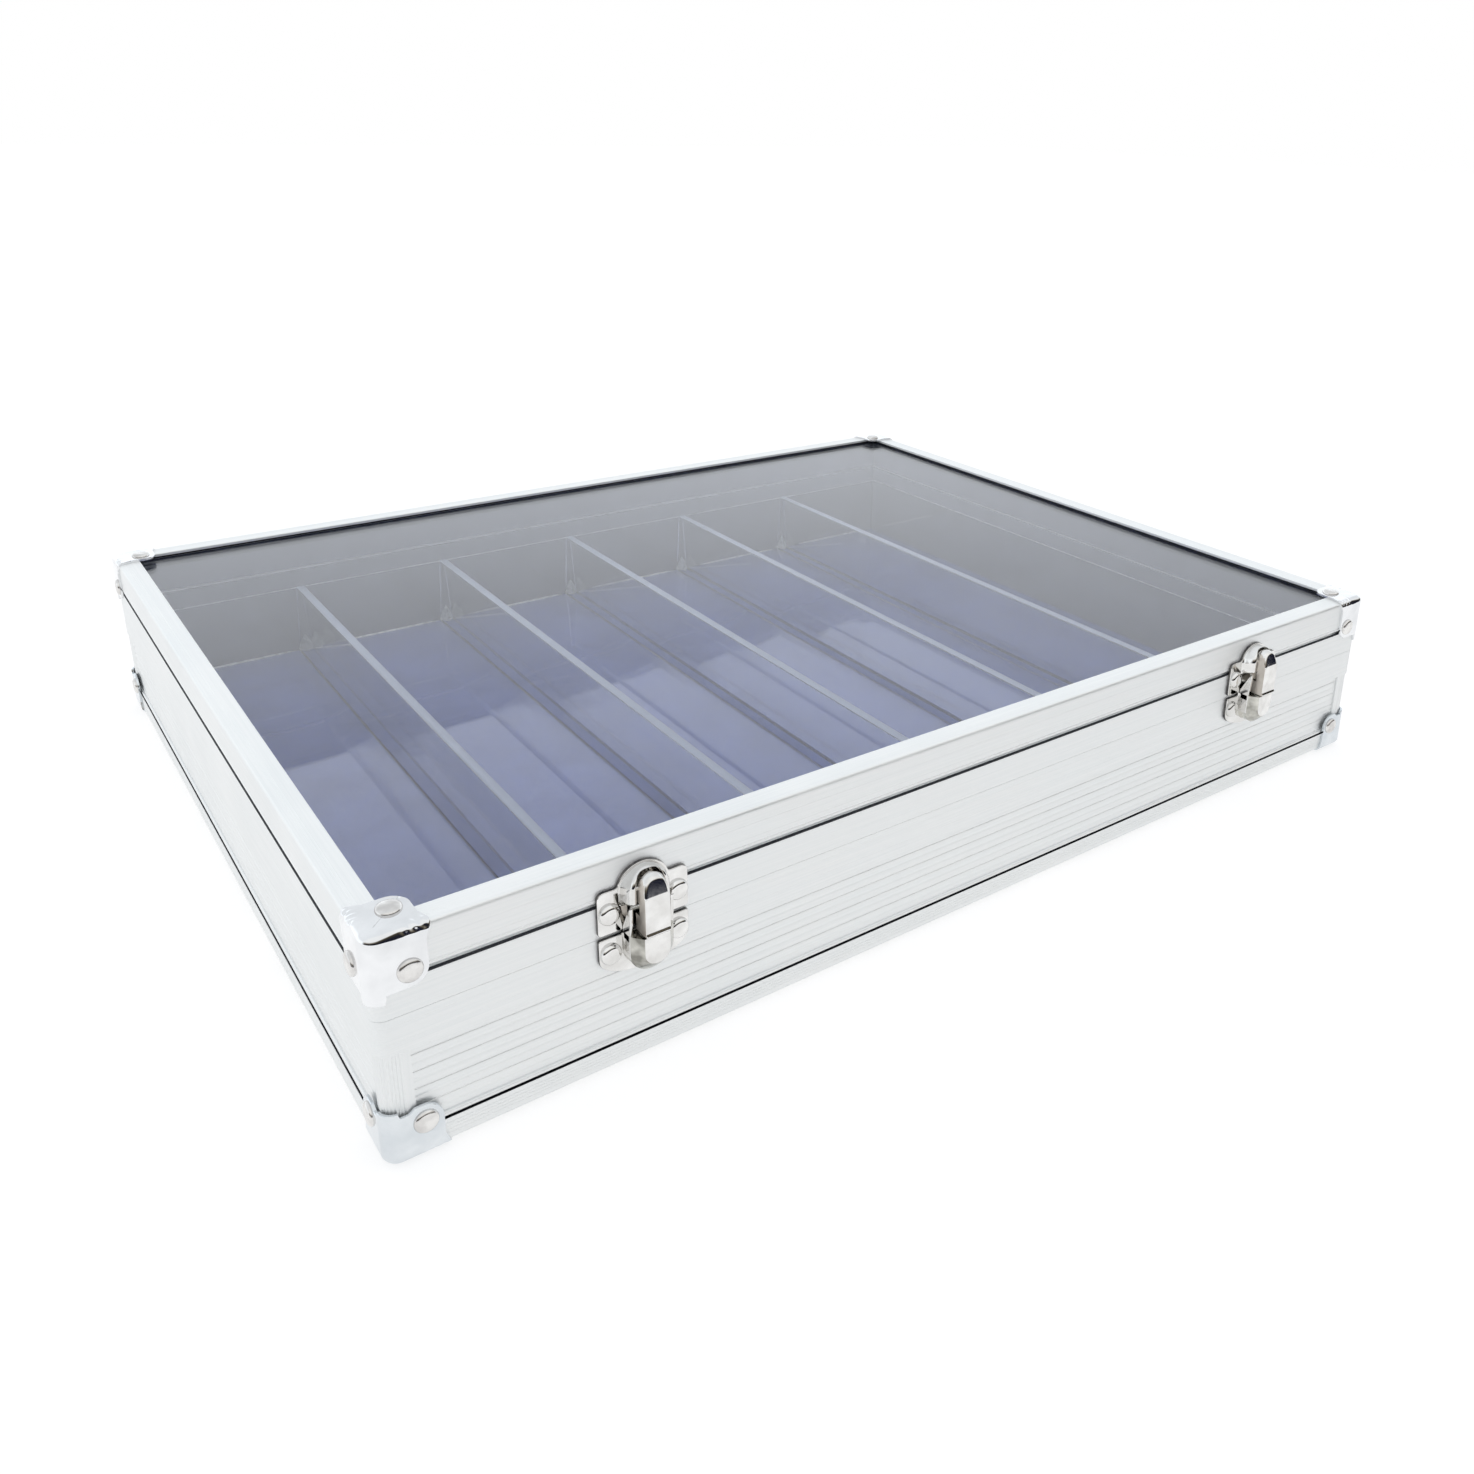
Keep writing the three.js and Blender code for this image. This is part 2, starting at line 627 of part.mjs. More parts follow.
// The block that fills a case corner, grown outward by a distance, with its level edges rounded.
function cornerBlock(grow, edgeRadius, low, high) {
  const far = CAP_REACH + 2 * CORNER_RADIUS;
  const points = [
    [far, -grow],
    [far, far],
    [-grow, far],
    ...roundedEdge(
      CORNER_RADIUS,
      CORNER_RADIUS,
      CORNER_RADIUS + grow,
      Math.PI,
      1.5 * Math.PI,
      2 * ARC_STEPS,
    ),
  ];
  const geometry = new THREE.ExtrudeGeometry(outline(points), {
    depth: high - low - 2 * edgeRadius,
    bevelEnabled: true,
    bevelThickness: edgeRadius,
    bevelSize: edgeRadius,
    bevelOffset: -edgeRadius,
    bevelSegments: 3,
  });
  return solidFrom(geometry.translate(-HALF_LENGTH, -HALF_DEPTH, low + edgeRadius));
}

// Outline of a cap's wall lobe as [along the wall, away from the level face].
function wallLobe(lobeEnd, tabEnd, notchEnd) {
  return [
    [-OVERCUT, -OVERCUT],
    [CAP_REACH, -OVERCUT],
    [CAP_REACH, CAP_STRIP],
    [CAP_LOBE_EDGE, CAP_NECK],
    ...roundedEdge(
      CAP_LOBE_EDGE - LOBE_RADIUS,
      lobeEnd - LOBE_RADIUS,
      LOBE_RADIUS,
      0,
      0.5 * Math.PI,
      6,
    ),
    [CAP_LOBE_FLAT_SIDE, lobeEnd],
    [CAP_NOTCH_SIDE, notchEnd],
    [CAP_TAB_WIDE, notchEnd],
    [CAP_TAB_WIDE, tabEnd],
    [-OVERCUT, tabEnd],
  ];
}

// Outline of a cap's level lobe in plan, from the case corner.
const levelLobe = [
  [-OVERCUT, -OVERCUT],
  [CAP_REACH, -OVERCUT],
  [CAP_REACH, CAP_STRIP],
  [CAP_LOBE_EDGE, CAP_NECK],
  ...roundedEdge(
    CAP_LOBE_EDGE - LOBE_RADIUS,
    CAP_LOBE_EDGE - LOBE_RADIUS,
    LOBE_RADIUS,
    0,
    0.5 * Math.PI,
    6,
  ),
  [CAP_NECK, CAP_LOBE_EDGE],
  [CAP_STRIP, CAP_REACH],
  [-OVERCUT, CAP_REACH],
];

// A cap for the front left corner.
// "away" is +1 when it rises from the bottom face and -1 when it hangs from the top.
function makeCap(away, face, wallOutline, rivetHeight) {
  const tall = 2 * CAP_REACH + CASE_TOP;
  const reachOf = (start) => [start, start + away * tall].sort((a, b) => a - b);
  const outer = face - away * CAP_SKIN;
  const inner = face - away * CAP_GAP;
  const shell = cornerBlock(CAP_SKIN, CAP_EDGE_ROUND, ...reachOf(outer)).subtract(
    cornerBlock(CAP_GAP, CAP_EDGE_ROUND - CAP_THICK, ...reachOf(inner)),
  );
  const lobe = wallOutline.map(([along, distance]) => [along, outer + away * distance]);
  const cuts = [
    plateFacingFront(lobe, -tall, tall).translate(-HALF_LENGTH, -HALF_DEPTH, 0),
    barAlongX(lobe, -tall, tall).translate(-HALF_LENGTH, -HALF_DEPTH, 0),
    prism(levelLobe, 2 * tall).translate(-HALF_LENGTH, -HALF_DEPTH, outer - tall),
  ];
  const rivets = [
    rivetHead(CAP_RIVET)
      .rotateX(Math.PI / 2)
      .translate(CAP_RIVET_INSET - HALF_LENGTH, -HALF_DEPTH - CAP_SKIN, rivetHeight),
    rivetHead(CAP_RIVET)
      .rotateY(-Math.PI / 2)
      .translate(-HALF_LENGTH - CAP_SKIN, CAP_RIVET_INSET - HALF_DEPTH, rivetHeight),
    rivetHead(CAP_RIVET)
      .rotateX(away > 0 ? Math.PI : 0)
      .translate(LEVEL_RIVET_INSET - HALF_LENGTH, LEVEL_RIVET_INSET - HALF_DEPTH, outer),
  ];
  const pressed = cuts.reduce((cap, cut) => cap.intersect(solidFrom(cut)), shell);
  return rivets.reduce((cap, rivet) => cap.add(solidFrom(rivet)), pressed);
}

const baseCapOuter = RAIL_BOTTOM - CAP_SKIN;
const lidCapOuter = CASE_TOP + CAP_SKIN;
const baseCap = makeCap(
  1,
  RAIL_BOTTOM,
  wallLobe(
    BASE_CAP_TOP - baseCapOuter,
    BASE_TAB_TOP - baseCapOuter,
    BASE_CAP_NOTCH - baseCapOuter,
  ),
  BASE_RIVET_HEIGHT,
);
const lidCap = makeCap(
  -1,
  CASE_TOP,
  wallLobe(lidCapOuter - LID_CAP_LOW, lidCapOuter - LID_TAB_LOW, lidCapOuter - LID_CAP_LOW),
  LID_RIVET_HEIGHT,
);

// The four corners are mirror images of the front left one.
const corners = [
  { name: "front_left", mirror: [1, 1] },
  { name: "front_right", mirror: [-1, 1] },
  { name: "back_right", mirror: [-1, -1] },
  { name: "back_left", mirror: [1, -1] },
];
const column = makeColumn();
for (const { name, mirror } of corners) {
  add("corner_column_" + name, geometryFrom(column), looks.ribbed, mirror);
  add("base_cap_" + name, geometryFrom(baseCap), looks.chrome, mirror);
  add("lid_cap_" + name, geometryFrom(lidCap), looks.chrome, mirror);
}

// Mirrored copy of a list of outline points, walked back from the other side.
function withMirror(points) {
  return [...points, ...points.map(([x, y]) => [-x, y]).reverse()];
}

// A round bar along X, centred on x = 0.
function roundBar(radius, halfLong, y, z) {
  return new THREE.CylinderGeometry(radius, radius, 2 * halfLong, ROUND_STEPS)
    .rotateZ(Math.PI / 2)
    .translate(0, y, z);
}

function latchRivets(height) {
  return [-1, 1].map((end) =>
    solidFrom(
      rivetHead(LATCH_RIVET)
        .rotateX(Math.PI / 2)
        .translate(end * LATCH_RIVET_OFFSET, -LATCH_SHEET, height),
    ),
  );
}

function join(solids) {
  return solids.reduce((whole, piece) => whole.add(piece));
}

// Upper latch plate: two ears with rivets and an arched hump with a slot for the lever.
// The latch pieces are drawn with y = 0 on the case's front and z = 0 on the seam.
function makeLatchPlate() {
  const archStart = Math.asin(Math.min(1, (PLATE_EAR_TOP - HUMP_CENTRE) / HUMP_RADIUS));
  const plate = withMirror([
    [LATCH_HALF_WIDE, PLATE_LOW],
    [LATCH_HALF_WIDE, PLATE_EAR_TOP - PLATE_CORNER],
    [LATCH_HALF_WIDE - PLATE_CORNER, PLATE_EAR_TOP],
    [HUMP_RADIUS + HUMP_FLARE, PLATE_EAR_TOP],
    ...roundedEdge(0, HUMP_CENTRE, HUMP_RADIUS, 2 * archStart, 0.5 * Math.PI, 6),
  ]);
  const hump = new THREE.ExtrudeGeometry(
    outline(
      withMirror([
        [HUMP_RADIUS, HUMP_LOW],
        ...roundedEdge(0, HUMP_CENTRE, HUMP_RADIUS, 0, 0.5 * Math.PI, 8),
      ]),
    ),
    {
      depth: HUMP_OUT - 2 * HUMP_BEVEL,
      bevelEnabled: true,
      bevelThickness: HUMP_BEVEL,
      bevelSize: HUMP_BEVEL,
      bevelOffset: -HUMP_BEVEL,
      bevelSegments: 2,
    },
  )
    .rotateX(Math.PI / 2)
    .translate(0, -HUMP_BEVEL, 0);
  const slot = withMirror([
    [SLOT_HALF_WIDE, HUMP_LOW - OVERCUT],
    [SLOT_HALF_WIDE, SLOT_TOP - SLOT_CORNER],
    [SLOT_HALF_WIDE - SLOT_CORNER, SLOT_TOP],
  ]);
  const bore = roundBar(
    LEVER_PIN_RADIUS + FIT / 2,
    LEVER_PIN_HALF_LONG + FIT,
    -LEVER_PIN_OUT,
    LEVER_PIN_RISE,
  );
  const body = join([
    solidFrom(plateFacingFront(plate, -LATCH_SHEET, 0)),
    solidFrom(hump),
    ...latchRivets(UPPER_RIVET_HEIGHT),
  ]);
  return body
    .subtract(solidFrom(plateFacingFront(slot, -2 * HUMP_OUT, -LATCH_SHEET)))
    .subtract(solidFrom(bore));
}

// A bucket shape drawn as a U in front view, between two or more distances out from the case.
// Each station gives how far out it is, half its width and the height of its round bottom's centre.
function bucket(stations, top) {
  const unit = [
    [-1, 1],
    ...roundedEdge(0, 0, 1, Math.PI, 2 * Math.PI, 8),
    [1, 1],
  ];
  const last = stations.length - 1;
  const geometry = prism(unit, 1, last);
  const points = geometry.attributes.position;
  for (let i = 0; i < points.count; i++) {
    const { out, half, centre } = stations[Math.round(points.getZ(i) * last)];
    const v = points.getY(i);
    const up = v > 0.5 ? top : centre + v * half;
    points.setXYZ(i, points.getX(i) * half, -out, up);
  }
  return solidFrom(geometry);
}

// Lower latch plate: rounded bottom, two rivets, the cup that the lever snaps into and its two pointed cheeks.
function makeCatch() {
  const roundedFoot = roundedEdge(0, 0, 1, 0, -Math.PI, 12).map(([across, down]) => [
    across * LATCH_HALF_WIDE,
    CATCH_SHOULDER + down * (CATCH_SHOULDER - CATCH_LOW),
  ]);
  const plate = [
    [-LATCH_HALF_WIDE, CATCH_TOP],
    [LATCH_HALF_WIDE, CATCH_TOP],
    ...roundedFoot,
  ];
  const cup = bucket(
    [
      { out: LATCH_SHEET / 2, half: CUP_HALF_WIDE, centre: CUP_CENTRE },
      { out: CUP_SIDE_OUT, half: CUP_HALF_WIDE, centre: CUP_CENTRE },
      { out: CUP_FACE_OUT, half: CUP_FACE_HALF_WIDE, centre: CUP_FACE_CENTRE },
    ],
    CUP_TOP,
  );
  const hollow = bucket(
    [
      { out: LATCH_SHEET, half: CUP_HALF_WIDE - CUP_SHEET, centre: CUP_CENTRE },
      {
        out: CUP_SIDE_OUT - CUP_SHEET / 2,
        half: CUP_HALF_WIDE - CUP_SHEET,
        centre: CUP_CENTRE,
      },
      {
        out: CUP_FACE_OUT - CUP_SHEET,
        half: CUP_FACE_HALF_WIDE - CUP_SHEET / 2,
        centre: CUP_FACE_CENTRE,
      },
    ],
    CUP_TOP + OVERCUT,
  );
  const cheek = [
    [-LATCH_SHEET - SEAM_GAP, CHEEK_ROOT],
    [-LATCH_SHEET - SEAM_GAP, CHEEK_SHOULDER],
    [-CUP_SIDE_OUT, CHEEK_TIP],
    [-CUP_SIDE_OUT, CHEEK_ROOT],
  ];
  const inner = CUP_HALF_WIDE - CUP_SHEET;
  const cheeks = [
    solidFrom(barAlongX(cheek, -CUP_HALF_WIDE, -inner)),
    solidFrom(barAlongX(cheek, inner, CUP_HALF_WIDE)),
  ];
  const plateAndCup = solidFrom(plateFacingFront(plate, -LATCH_SHEET, 0)).add(cup);
  return join([
    plateAndCup.subtract(hollow),
    ...cheeks,
    ...latchRivets(LOWER_RIVET_HEIGHT),
  ]);
}

// Lever: a channel that hangs from its pin, open towards the case, with a finger lip along its lower edge.
function makeLever() {
  const notchLow = LEVER_NOTCH_TOP - LEVER_NOTCH_TALL;
  const side = [
    [-LEVER_FACE_OUT, LEVER_FACE_TOP],
    [-LEVER_FACE_OUT, LEVER_FACE_LOW],
    [-LEVER_LIP_OUT, LEVER_TIP + LEVER_LIP_THICK],
    [-LEVER_LIP_OUT, LEVER_TIP],
    [-LEVER_FACE_OUT + LEVER_WALL, LEVER_TIP],
    [-LEVER_BACK_OUT, LEVER_TIP + LEVER_TIP_BEVEL],
    [-LEVER_BACK_OUT, notchLow],
    [-LEVER_NOTCH_OUT, notchLow],
    [-LEVER_NOTCH_OUT, LEVER_NOTCH_TOP],
    [-LEVER_BACK_OUT, LEVER_NOTCH_TOP],
    [-LEVER_BACK_OUT, LEVER_CROWN - LEVER_CROWN_DROP],
    [-LEVER_PIN_OUT, LEVER_CROWN],
  ];
  const front = withMirror([
    [LEVER_HALF_WIDE, LEVER_TIP - OVERCUT],
    [LEVER_HALF_WIDE, LEVER_CROWN - LEVER_CROWN_CORNER],
    [LEVER_HALF_WIDE - LEVER_CROWN_CORNER, LEVER_CROWN],
  ]);
  const behind = LEVER_BACK_OUT - OVERCUT;
  const channel = [
    [-LEVER_FACE_OUT + LEVER_WALL, LEVER_TIP - OVERCUT],
    [-LEVER_FACE_OUT + LEVER_WALL, LEVER_FACE_TOP - LEVER_FACE_TOP_WALL],
    [-LEVER_PIN_OUT, LEVER_CROWN - LEVER_CROWN_WALL],
    [-behind, LEVER_CROWN - LEVER_CROWN_DROP - LEVER_CROWN_WALL],
    [-behind, LEVER_TIP - OVERCUT],
  ];
  const inner = LEVER_HALF_WIDE - LEVER_CHEEK;
  const bore = roundBar(
    LEVER_PIN_RADIUS + PIN_RUNNING_GAP,
    2 * LEVER_HALF_WIDE,
    -LEVER_PIN_OUT,
    LEVER_PIN_RISE,
  );
  return solidFrom(barAlongX(side, -LEVER_HALF_WIDE, LEVER_HALF_WIDE))
    .intersect(solidFrom(plateFacingFront(front, -2 * LEVER_LIP_OUT, 0)))
    .subtract(solidFrom(barAlongX(channel, -inner, inner)))
    .subtract(solidFrom(bore));
}

const latchPieces = [
  { name: "latch_plate", solid: makeLatchPlate(), look: looks.chrome },
  { name: "latch_catch", solid: makeCatch(), look: looks.chrome },
  { name: "latch_lever", solid: makeLever(), look: looks.chrome },
  {
    name: "latch_pin",
    solid: solidFrom(
      roundBar(
        LEVER_PIN_RADIUS,
        LEVER_PIN_HALF_LONG,
        -LEVER_PIN_OUT,
        LEVER_PIN_RISE,
      ),
    ),
    look: looks.steel,
  },
];
const ends = [
  { name: "left", way: -1 },
  { name: "right", way: 1 },
];
for (const end of ends)
  for (const { name, solid, look } of latchPieces) {
    const placed = solid.translate([end.way * LATCH_OFFSET, -HALF_DEPTH, RIM_TOP]);
    add(name + "_" + end.name, geometryFrom(placed), look);
  }

// One leaf of a hinge, drawn with y = 0 on the case's back and z = 0 on the seam.
// "up" is +1 for the lid's leaf and -1 for the base's.
function makeLeaf(up, knuckleSpans) {
  const clear = KNUCKLE_RADIUS + KNUCKLE_SWING_GAP;
  const low = Math.min(up * clear, up * HINGE_LEAF_TALL);
  const high = Math.max(up * clear, up * HINGE_LEAF_TALL);
  const pieces = [
    block([-HINGE_HALF_WIDE, 0, low], [HINGE_HALF_WIDE, HINGE_LEAF_THICK, high]),
    ...[-1, 1].map((end) =>
      rivetHead(HINGE_RIVET)
        .rotateX(-Math.PI / 2)
        .translate(end * HINGE_RIVET_OFFSET, HINGE_LEAF_THICK, (low + high) / 2),
    ),
  ];
  for (const [from, to] of knuckleSpans) {
    const middle = (from + to) / 2;
    const knuckle = roundBar(KNUCKLE_RADIUS, (to - from) / 2, HINGE_AXIS_OUT, 0);
    pieces.push(
      knuckle.translate(middle, 0, 0),
      block(
        [from, 0, Math.min(0, up * (clear + FIT))],
        [to, HINGE_LEAF_THICK, Math.max(0, up * (clear + FIT))],
      ),
    );
  }
  const bore = roundBar(
    HINGE_PIN_RADIUS + PIN_RUNNING_GAP,
    2 * HINGE_HALF_WIDE,
    HINGE_AXIS_OUT,
    0,
  );
  return join(pieces.map(solidFrom)).subtract(solidFrom(bore));
}

const KNUCKLE_SPLIT = HINGE_HALF_WIDE / 3;
const halfGap = KNUCKLE_GAP / 2;
const hingePieces = [
  {
    name: "hinge_lid_leaf",
    solid: makeLeaf(1, [[-KNUCKLE_SPLIT + halfGap, KNUCKLE_SPLIT - halfGap]]),
  },
  {
    name: "hinge_base_leaf",
    solid: makeLeaf(-1, [
      [-HINGE_HALF_WIDE, -KNUCKLE_SPLIT - halfGap],
      [KNUCKLE_SPLIT + halfGap, HINGE_HALF_WIDE],
    ]),
  },
  {
    name: "hinge_pin",
    solid: solidFrom(roundBar(HINGE_PIN_RADIUS, HINGE_HALF_WIDE, HINGE_AXIS_OUT, 0)),
  },
];
for (const end of ends)
  for (const { name, solid } of hingePieces) {
    const placed = solid.translate([end.way * HINGE_OFFSET, HALF_DEPTH, RIM_TOP]);
    add(name + "_" + end.name, geometryFrom(placed), looks.steel);
  }

export default caseGroup;
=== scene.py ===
import math
import bmesh
import bpy
import numpy as np
from mathutils import Matrix


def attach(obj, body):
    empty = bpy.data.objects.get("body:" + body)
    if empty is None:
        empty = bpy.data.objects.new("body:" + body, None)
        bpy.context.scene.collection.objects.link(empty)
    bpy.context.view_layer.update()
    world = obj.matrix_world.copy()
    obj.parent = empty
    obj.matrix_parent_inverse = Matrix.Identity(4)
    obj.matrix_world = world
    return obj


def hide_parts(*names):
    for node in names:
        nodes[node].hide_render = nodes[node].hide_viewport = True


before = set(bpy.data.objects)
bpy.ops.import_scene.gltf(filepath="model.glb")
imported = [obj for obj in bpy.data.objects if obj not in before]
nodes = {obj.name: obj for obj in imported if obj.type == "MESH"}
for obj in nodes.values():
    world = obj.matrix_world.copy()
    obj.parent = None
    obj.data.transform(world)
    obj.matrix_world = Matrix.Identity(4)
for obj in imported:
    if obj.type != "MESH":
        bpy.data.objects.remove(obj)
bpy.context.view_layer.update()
scene = bpy.context.scene


# Bottom rail: an extruded aluminium angle that wraps the lower edge of the case.
# Its standing leg has fine drawn lines, its edge is rounded, and the four lengths meet in mitres.
# Satin anodised finish, a little brighter where the tool lines catch the light.
HALF_LENGTH = 190.5
HALF_DEPTH = 152.5
CENTRING_SHIFT = 2.3
CORNER_RADIUS = 3.4
SIDES = ("front", "right", "back", "left")


def to_metres(points):
    """Millimetres counted from the middle of the case become metres in the shared frame, moved back by the
    centring shift."""
    points = np.array(points, float).reshape(-1, 3)
    return (points + (0, CENTRING_SHIFT, 0)) * 0.001


def turned(points, quarter):
    """Turns points about Z by a number of quarter turns: each one takes (x, y) to (-y, x)."""
    points = np.array(points, float)
    for _ in range(quarter % 4):
        points = np.stack([-points[..., 1], points[..., 0], points[..., 2]], -1)
    return points


def softened(corners, radius, steps=3):
    """Rounds a closed outline: each corner becomes a quadratic curve (1-s)^2 A + 2s(1-s) C + s^2 B,
    where C is the corner and A and B lie a radius away along its two edges, at most 0.45 of each edge."""
    corners = np.array(corners, float)
    radius = np.broadcast_to(np.array(radius, float), len(corners))[:, None]
    back, ahead = np.roll(corners, 1, 0) - corners, np.roll(corners, -1, 0) - corners
    long_back = np.linalg.norm(back, axis=1, keepdims=True)
    long_ahead = np.linalg.norm(ahead, axis=1, keepdims=True)
    start = corners + back / long_back * np.minimum(radius, 0.45 * long_back)
    end = corners + ahead / long_ahead * np.minimum(radius, 0.45 * long_ahead)
    s = np.linspace(0, 1, steps + 1)[None, :, None]
    curve = (1 - s) ** 2 * start[:, None] + 2 * s * (1 - s) * corners[:, None] + s**2 * end[:, None]
    return curve.reshape(-1, corners.shape[1])


def grid_faces(rows, columns, closed_rows=False, closed_columns=False):
    """Quads of a grid of points stored row by row; a closed direction joins its last line to its first."""
    r = np.arange(rows if closed_rows else rows - 1)
    c = np.arange(columns if closed_columns else columns - 1)
    r, c = np.meshgrid(r, c, indexing="ij")
    r2, c2 = (r + 1) % rows, (c + 1) % columns
    quads = [r * columns + c, r * columns + c2, r2 * columns + c2, r2 * columns + c]
    return np.stack(quads, -1).reshape(-1, 4).tolist()


def joined(*parts):
    """Puts several (points, faces) surfaces into one, each face's numbers raised by the points before
    it."""
    points, faces, count = [], [], 0
    for part_points, part_faces in parts:
        part_points = np.array(part_points, float).reshape(-1, 3)
        points.append(part_points)
        faces += [[corner + count for corner in face] for face in part_faces]
        count += len(part_points)
    return np.concatenate(points), faces


def lofted(rings):
    """A solid through a stack of closed rings of equal length, with a flat face over each end."""
    rings = np.array(rings, float)
    rows, columns = rings.shape[:2]
    faces = grid_faces(rows, columns, closed_columns=True)
    faces.append(list(range(columns))[::-1])
    faces.append(list(range((rows - 1) * columns, rows * columns)))
    return rings.reshape(-1, 3), faces


def make_piece(name, surface, material, body, replaces=(), sharp=40, merge=1e-6):
    """Builds one object from a surface in millimetres, points its faces outwards and lets large faces set
    the normals."""
    points, faces = surface
    mesh = bpy.data.meshes.new(name)
    mesh.from_pydata(to_metres(points).tolist(), [], faces)
    work = bmesh.new()
    work.from_mesh(mesh)
    bmesh.ops.remove_doubles(work, verts=work.verts, dist=merge)
    bmesh.ops.dissolve_degenerate(work, edges=work.edges, dist=merge)
    bmesh.ops.recalc_face_normals(work, faces=work.faces)
    work.to_mesh(mesh)
    work.free()
    for one in material if isinstance(material, (list, tuple)) else [material]:
        mesh.materials.append(one)
    mesh.shade_smooth()
    mesh.set_sharp_from_angle(angle=math.radians(sharp))
    piece = bpy.data.objects.new(name, mesh)
    scene.collection.objects.link(piece)
    even = piece.modifiers.new("even_normals", "WEIGHTED_NORMAL")
    even.keep_sharp = True
    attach(piece, body)
    if replaces:
        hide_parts(*replaces)
    return piece


def along_side(profile, quarter, arc_steps=10):
    """Carries a closed outline of (inward, up) points along one side and round half of the corner at each
    end. At an angle a from the side's normal a point of depth d stands R - d from the corner's centre;
    deeper than R it stays on the mitre."""
    inward, up = np.array(profile, float).T
    run, across = (HALF_LENGTH, HALF_DEPTH) if quarter % 2 == 0 else (HALF_DEPTH, HALF_LENGTH)
    quarter_arc = np.linspace(0, math.pi / 4, arc_steps + 1)
    angle = np.concatenate([-quarter_arc[::-1], quarter_arc])[:, None]
    end = np.where(np.arange(len(angle)) <= arc_steps, -1, 1)[:, None]
    reach, deeper = np.maximum(CORNER_RADIUS - inward, 0), np.maximum(inward - CORNER_RADIUS, 0)
    x = end * (run - CORNER_RADIUS - deeper) + reach * np.sin(angle)
    y = -across + CORNER_RADIUS + deeper - reach * np.cos(angle)
    return lofted(turned(np.stack([x, y, np.broadcast_to(up, x.shape)], -1), quarter))


def socket(group, name, kind, way, value=None):
    """Adds a named socket to a shader group's interface."""
    made = group.interface.new_socket(name, in_out=way, socket_type="NodeSocket" + kind)
    if value is not None:
        made.default_value = value
    return made


def link(tree, source, target):
    """Joins a node's output to another node's input."""
    tree.links.new(source, target)


def fill(node, **values):
    """Sets a node's inputs by name, an underscore standing for a space, and gives the node back."""
    for name, value in values.items():
        node.inputs[name.replace("_", " ")].default_value = value
    return node


def make_grain_group():
    """Fine drawn lines: noise stretched along the metal, mixed with a broad cloud of slow variation.
    Lines and Clouds are the two masks, Normal is the bump of the lines."""
    group = bpy.data.node_groups.new("metal_grain", "ShaderNodeTree")
    socket(group, "Stretch", "Vector", "INPUT", (1, 1, 1))
    socket(group, "Cloud Scale", "Float", "INPUT", 30.0)
    socket(group, "Bump", "Float", "INPUT", 0.1)
    for name, kind in (("Lines", "Float"), ("Clouds", "Float"), ("Normal", "Vector")):
        socket(group, name, kind, "OUTPUT")
    n = group.nodes
    inputs, outputs = n.new("NodeGroupInput"), n.new("NodeGroupOutput")
    place = n.new("ShaderNodeTexCoord")
    stretch = n.new("ShaderNodeVectorMath")
    stretch.operation = "MULTIPLY"
    link(group, place.outputs["Object"], stretch.inputs[0])
    link(group, inputs.outputs["Stretch"], stretch.inputs[1])
    lines = fill(n.new("ShaderNodeTexNoise"), Scale=1.0, Detail=3.0)
    link(group, stretch.outputs[0], lines.inputs["Vector"])
    clouds = fill(n.new("ShaderNodeTexNoise"), Detail=2.0)
    link(group, place.outputs["Object"], clouds.inputs["Vector"])
    link(group, inputs.outputs["Cloud Scale"], clouds.inputs["Scale"])
    bump = fill(n.new("ShaderNodeBump"), Distance=0.0001)
    link(group, inputs.outputs["Bump"], bump.inputs["Strength"])
    link(group, lines.outputs["Fac"], bump.inputs["Height"])
    for name, made in (("Lines", lines), ("Clouds", clouds), ("Normal", bump)):
        link(group, made.outputs[0], outputs.inputs[name])
    return group


grain_group = make_grain_group()


def new_material(name):
    """An empty node material with its Principled shader, and the tree to add to."""
    material = bpy.data.materials.new(name)
    material.use_nodes = True
    return material, material.node_tree, material.node_tree.nodes["Principled BSDF"]


def ranged(tree, value, low, high, from_low=0.3, from_high=0.7):
    """Maps a mask from one range to another, held at the ends."""
    node = tree.nodes.new("ShaderNodeMapRange")
    fill(node, From_Min=from_low, From_Max=from_high, To_Min=low, To_Max=high)
    link(tree, value, node.inputs["Value"])
    return node.outputs["Result"]


def blended(tree, mask, dark, light):
    """Two colours mixed by a mask; each is a plain colour or another node's output."""
    node = tree.nodes.new("ShaderNodeMix")
    node.data_type = "RGBA"
    for name, colour in (("A", dark), ("B", light)):
        if isinstance(colour, tuple):
            node.inputs[name].default_value = (*colour, 1)
        else:
            link(tree, colour, node.inputs[name])
    link(tree, mask, node.inputs["Factor"])
    return node.outputs["Result"]


def maths(tree, operation, first, painted_light, clamp=False):
    """A sum, product or the like; the second value is a plain number or another node's output."""
    node = tree.nodes.new("ShaderNodeMath")
    node.operation = operation
    node.use_clamp = clamp
    link(tree, first, node.inputs[0])
    if isinstance(painted_light, float):
        node.inputs[1].default_value = painted_light
    else:
        link(tree, painted_light, node.inputs[1])
    return node.outputs[0]


def noise_mask(tree, scale, detail=2.0):
    """Noise in the object's own coordinates; the scale counts its waves to the metre."""
    place = tree.nodes.new("ShaderNodeTexCoord")
    noise = fill(tree.nodes.new("ShaderNodeTexNoise"), Scale=scale, Detail=detail)
    link(tree, place.outputs["Object"], noise.inputs["Vector"])
    return noise.outputs["Fac"]


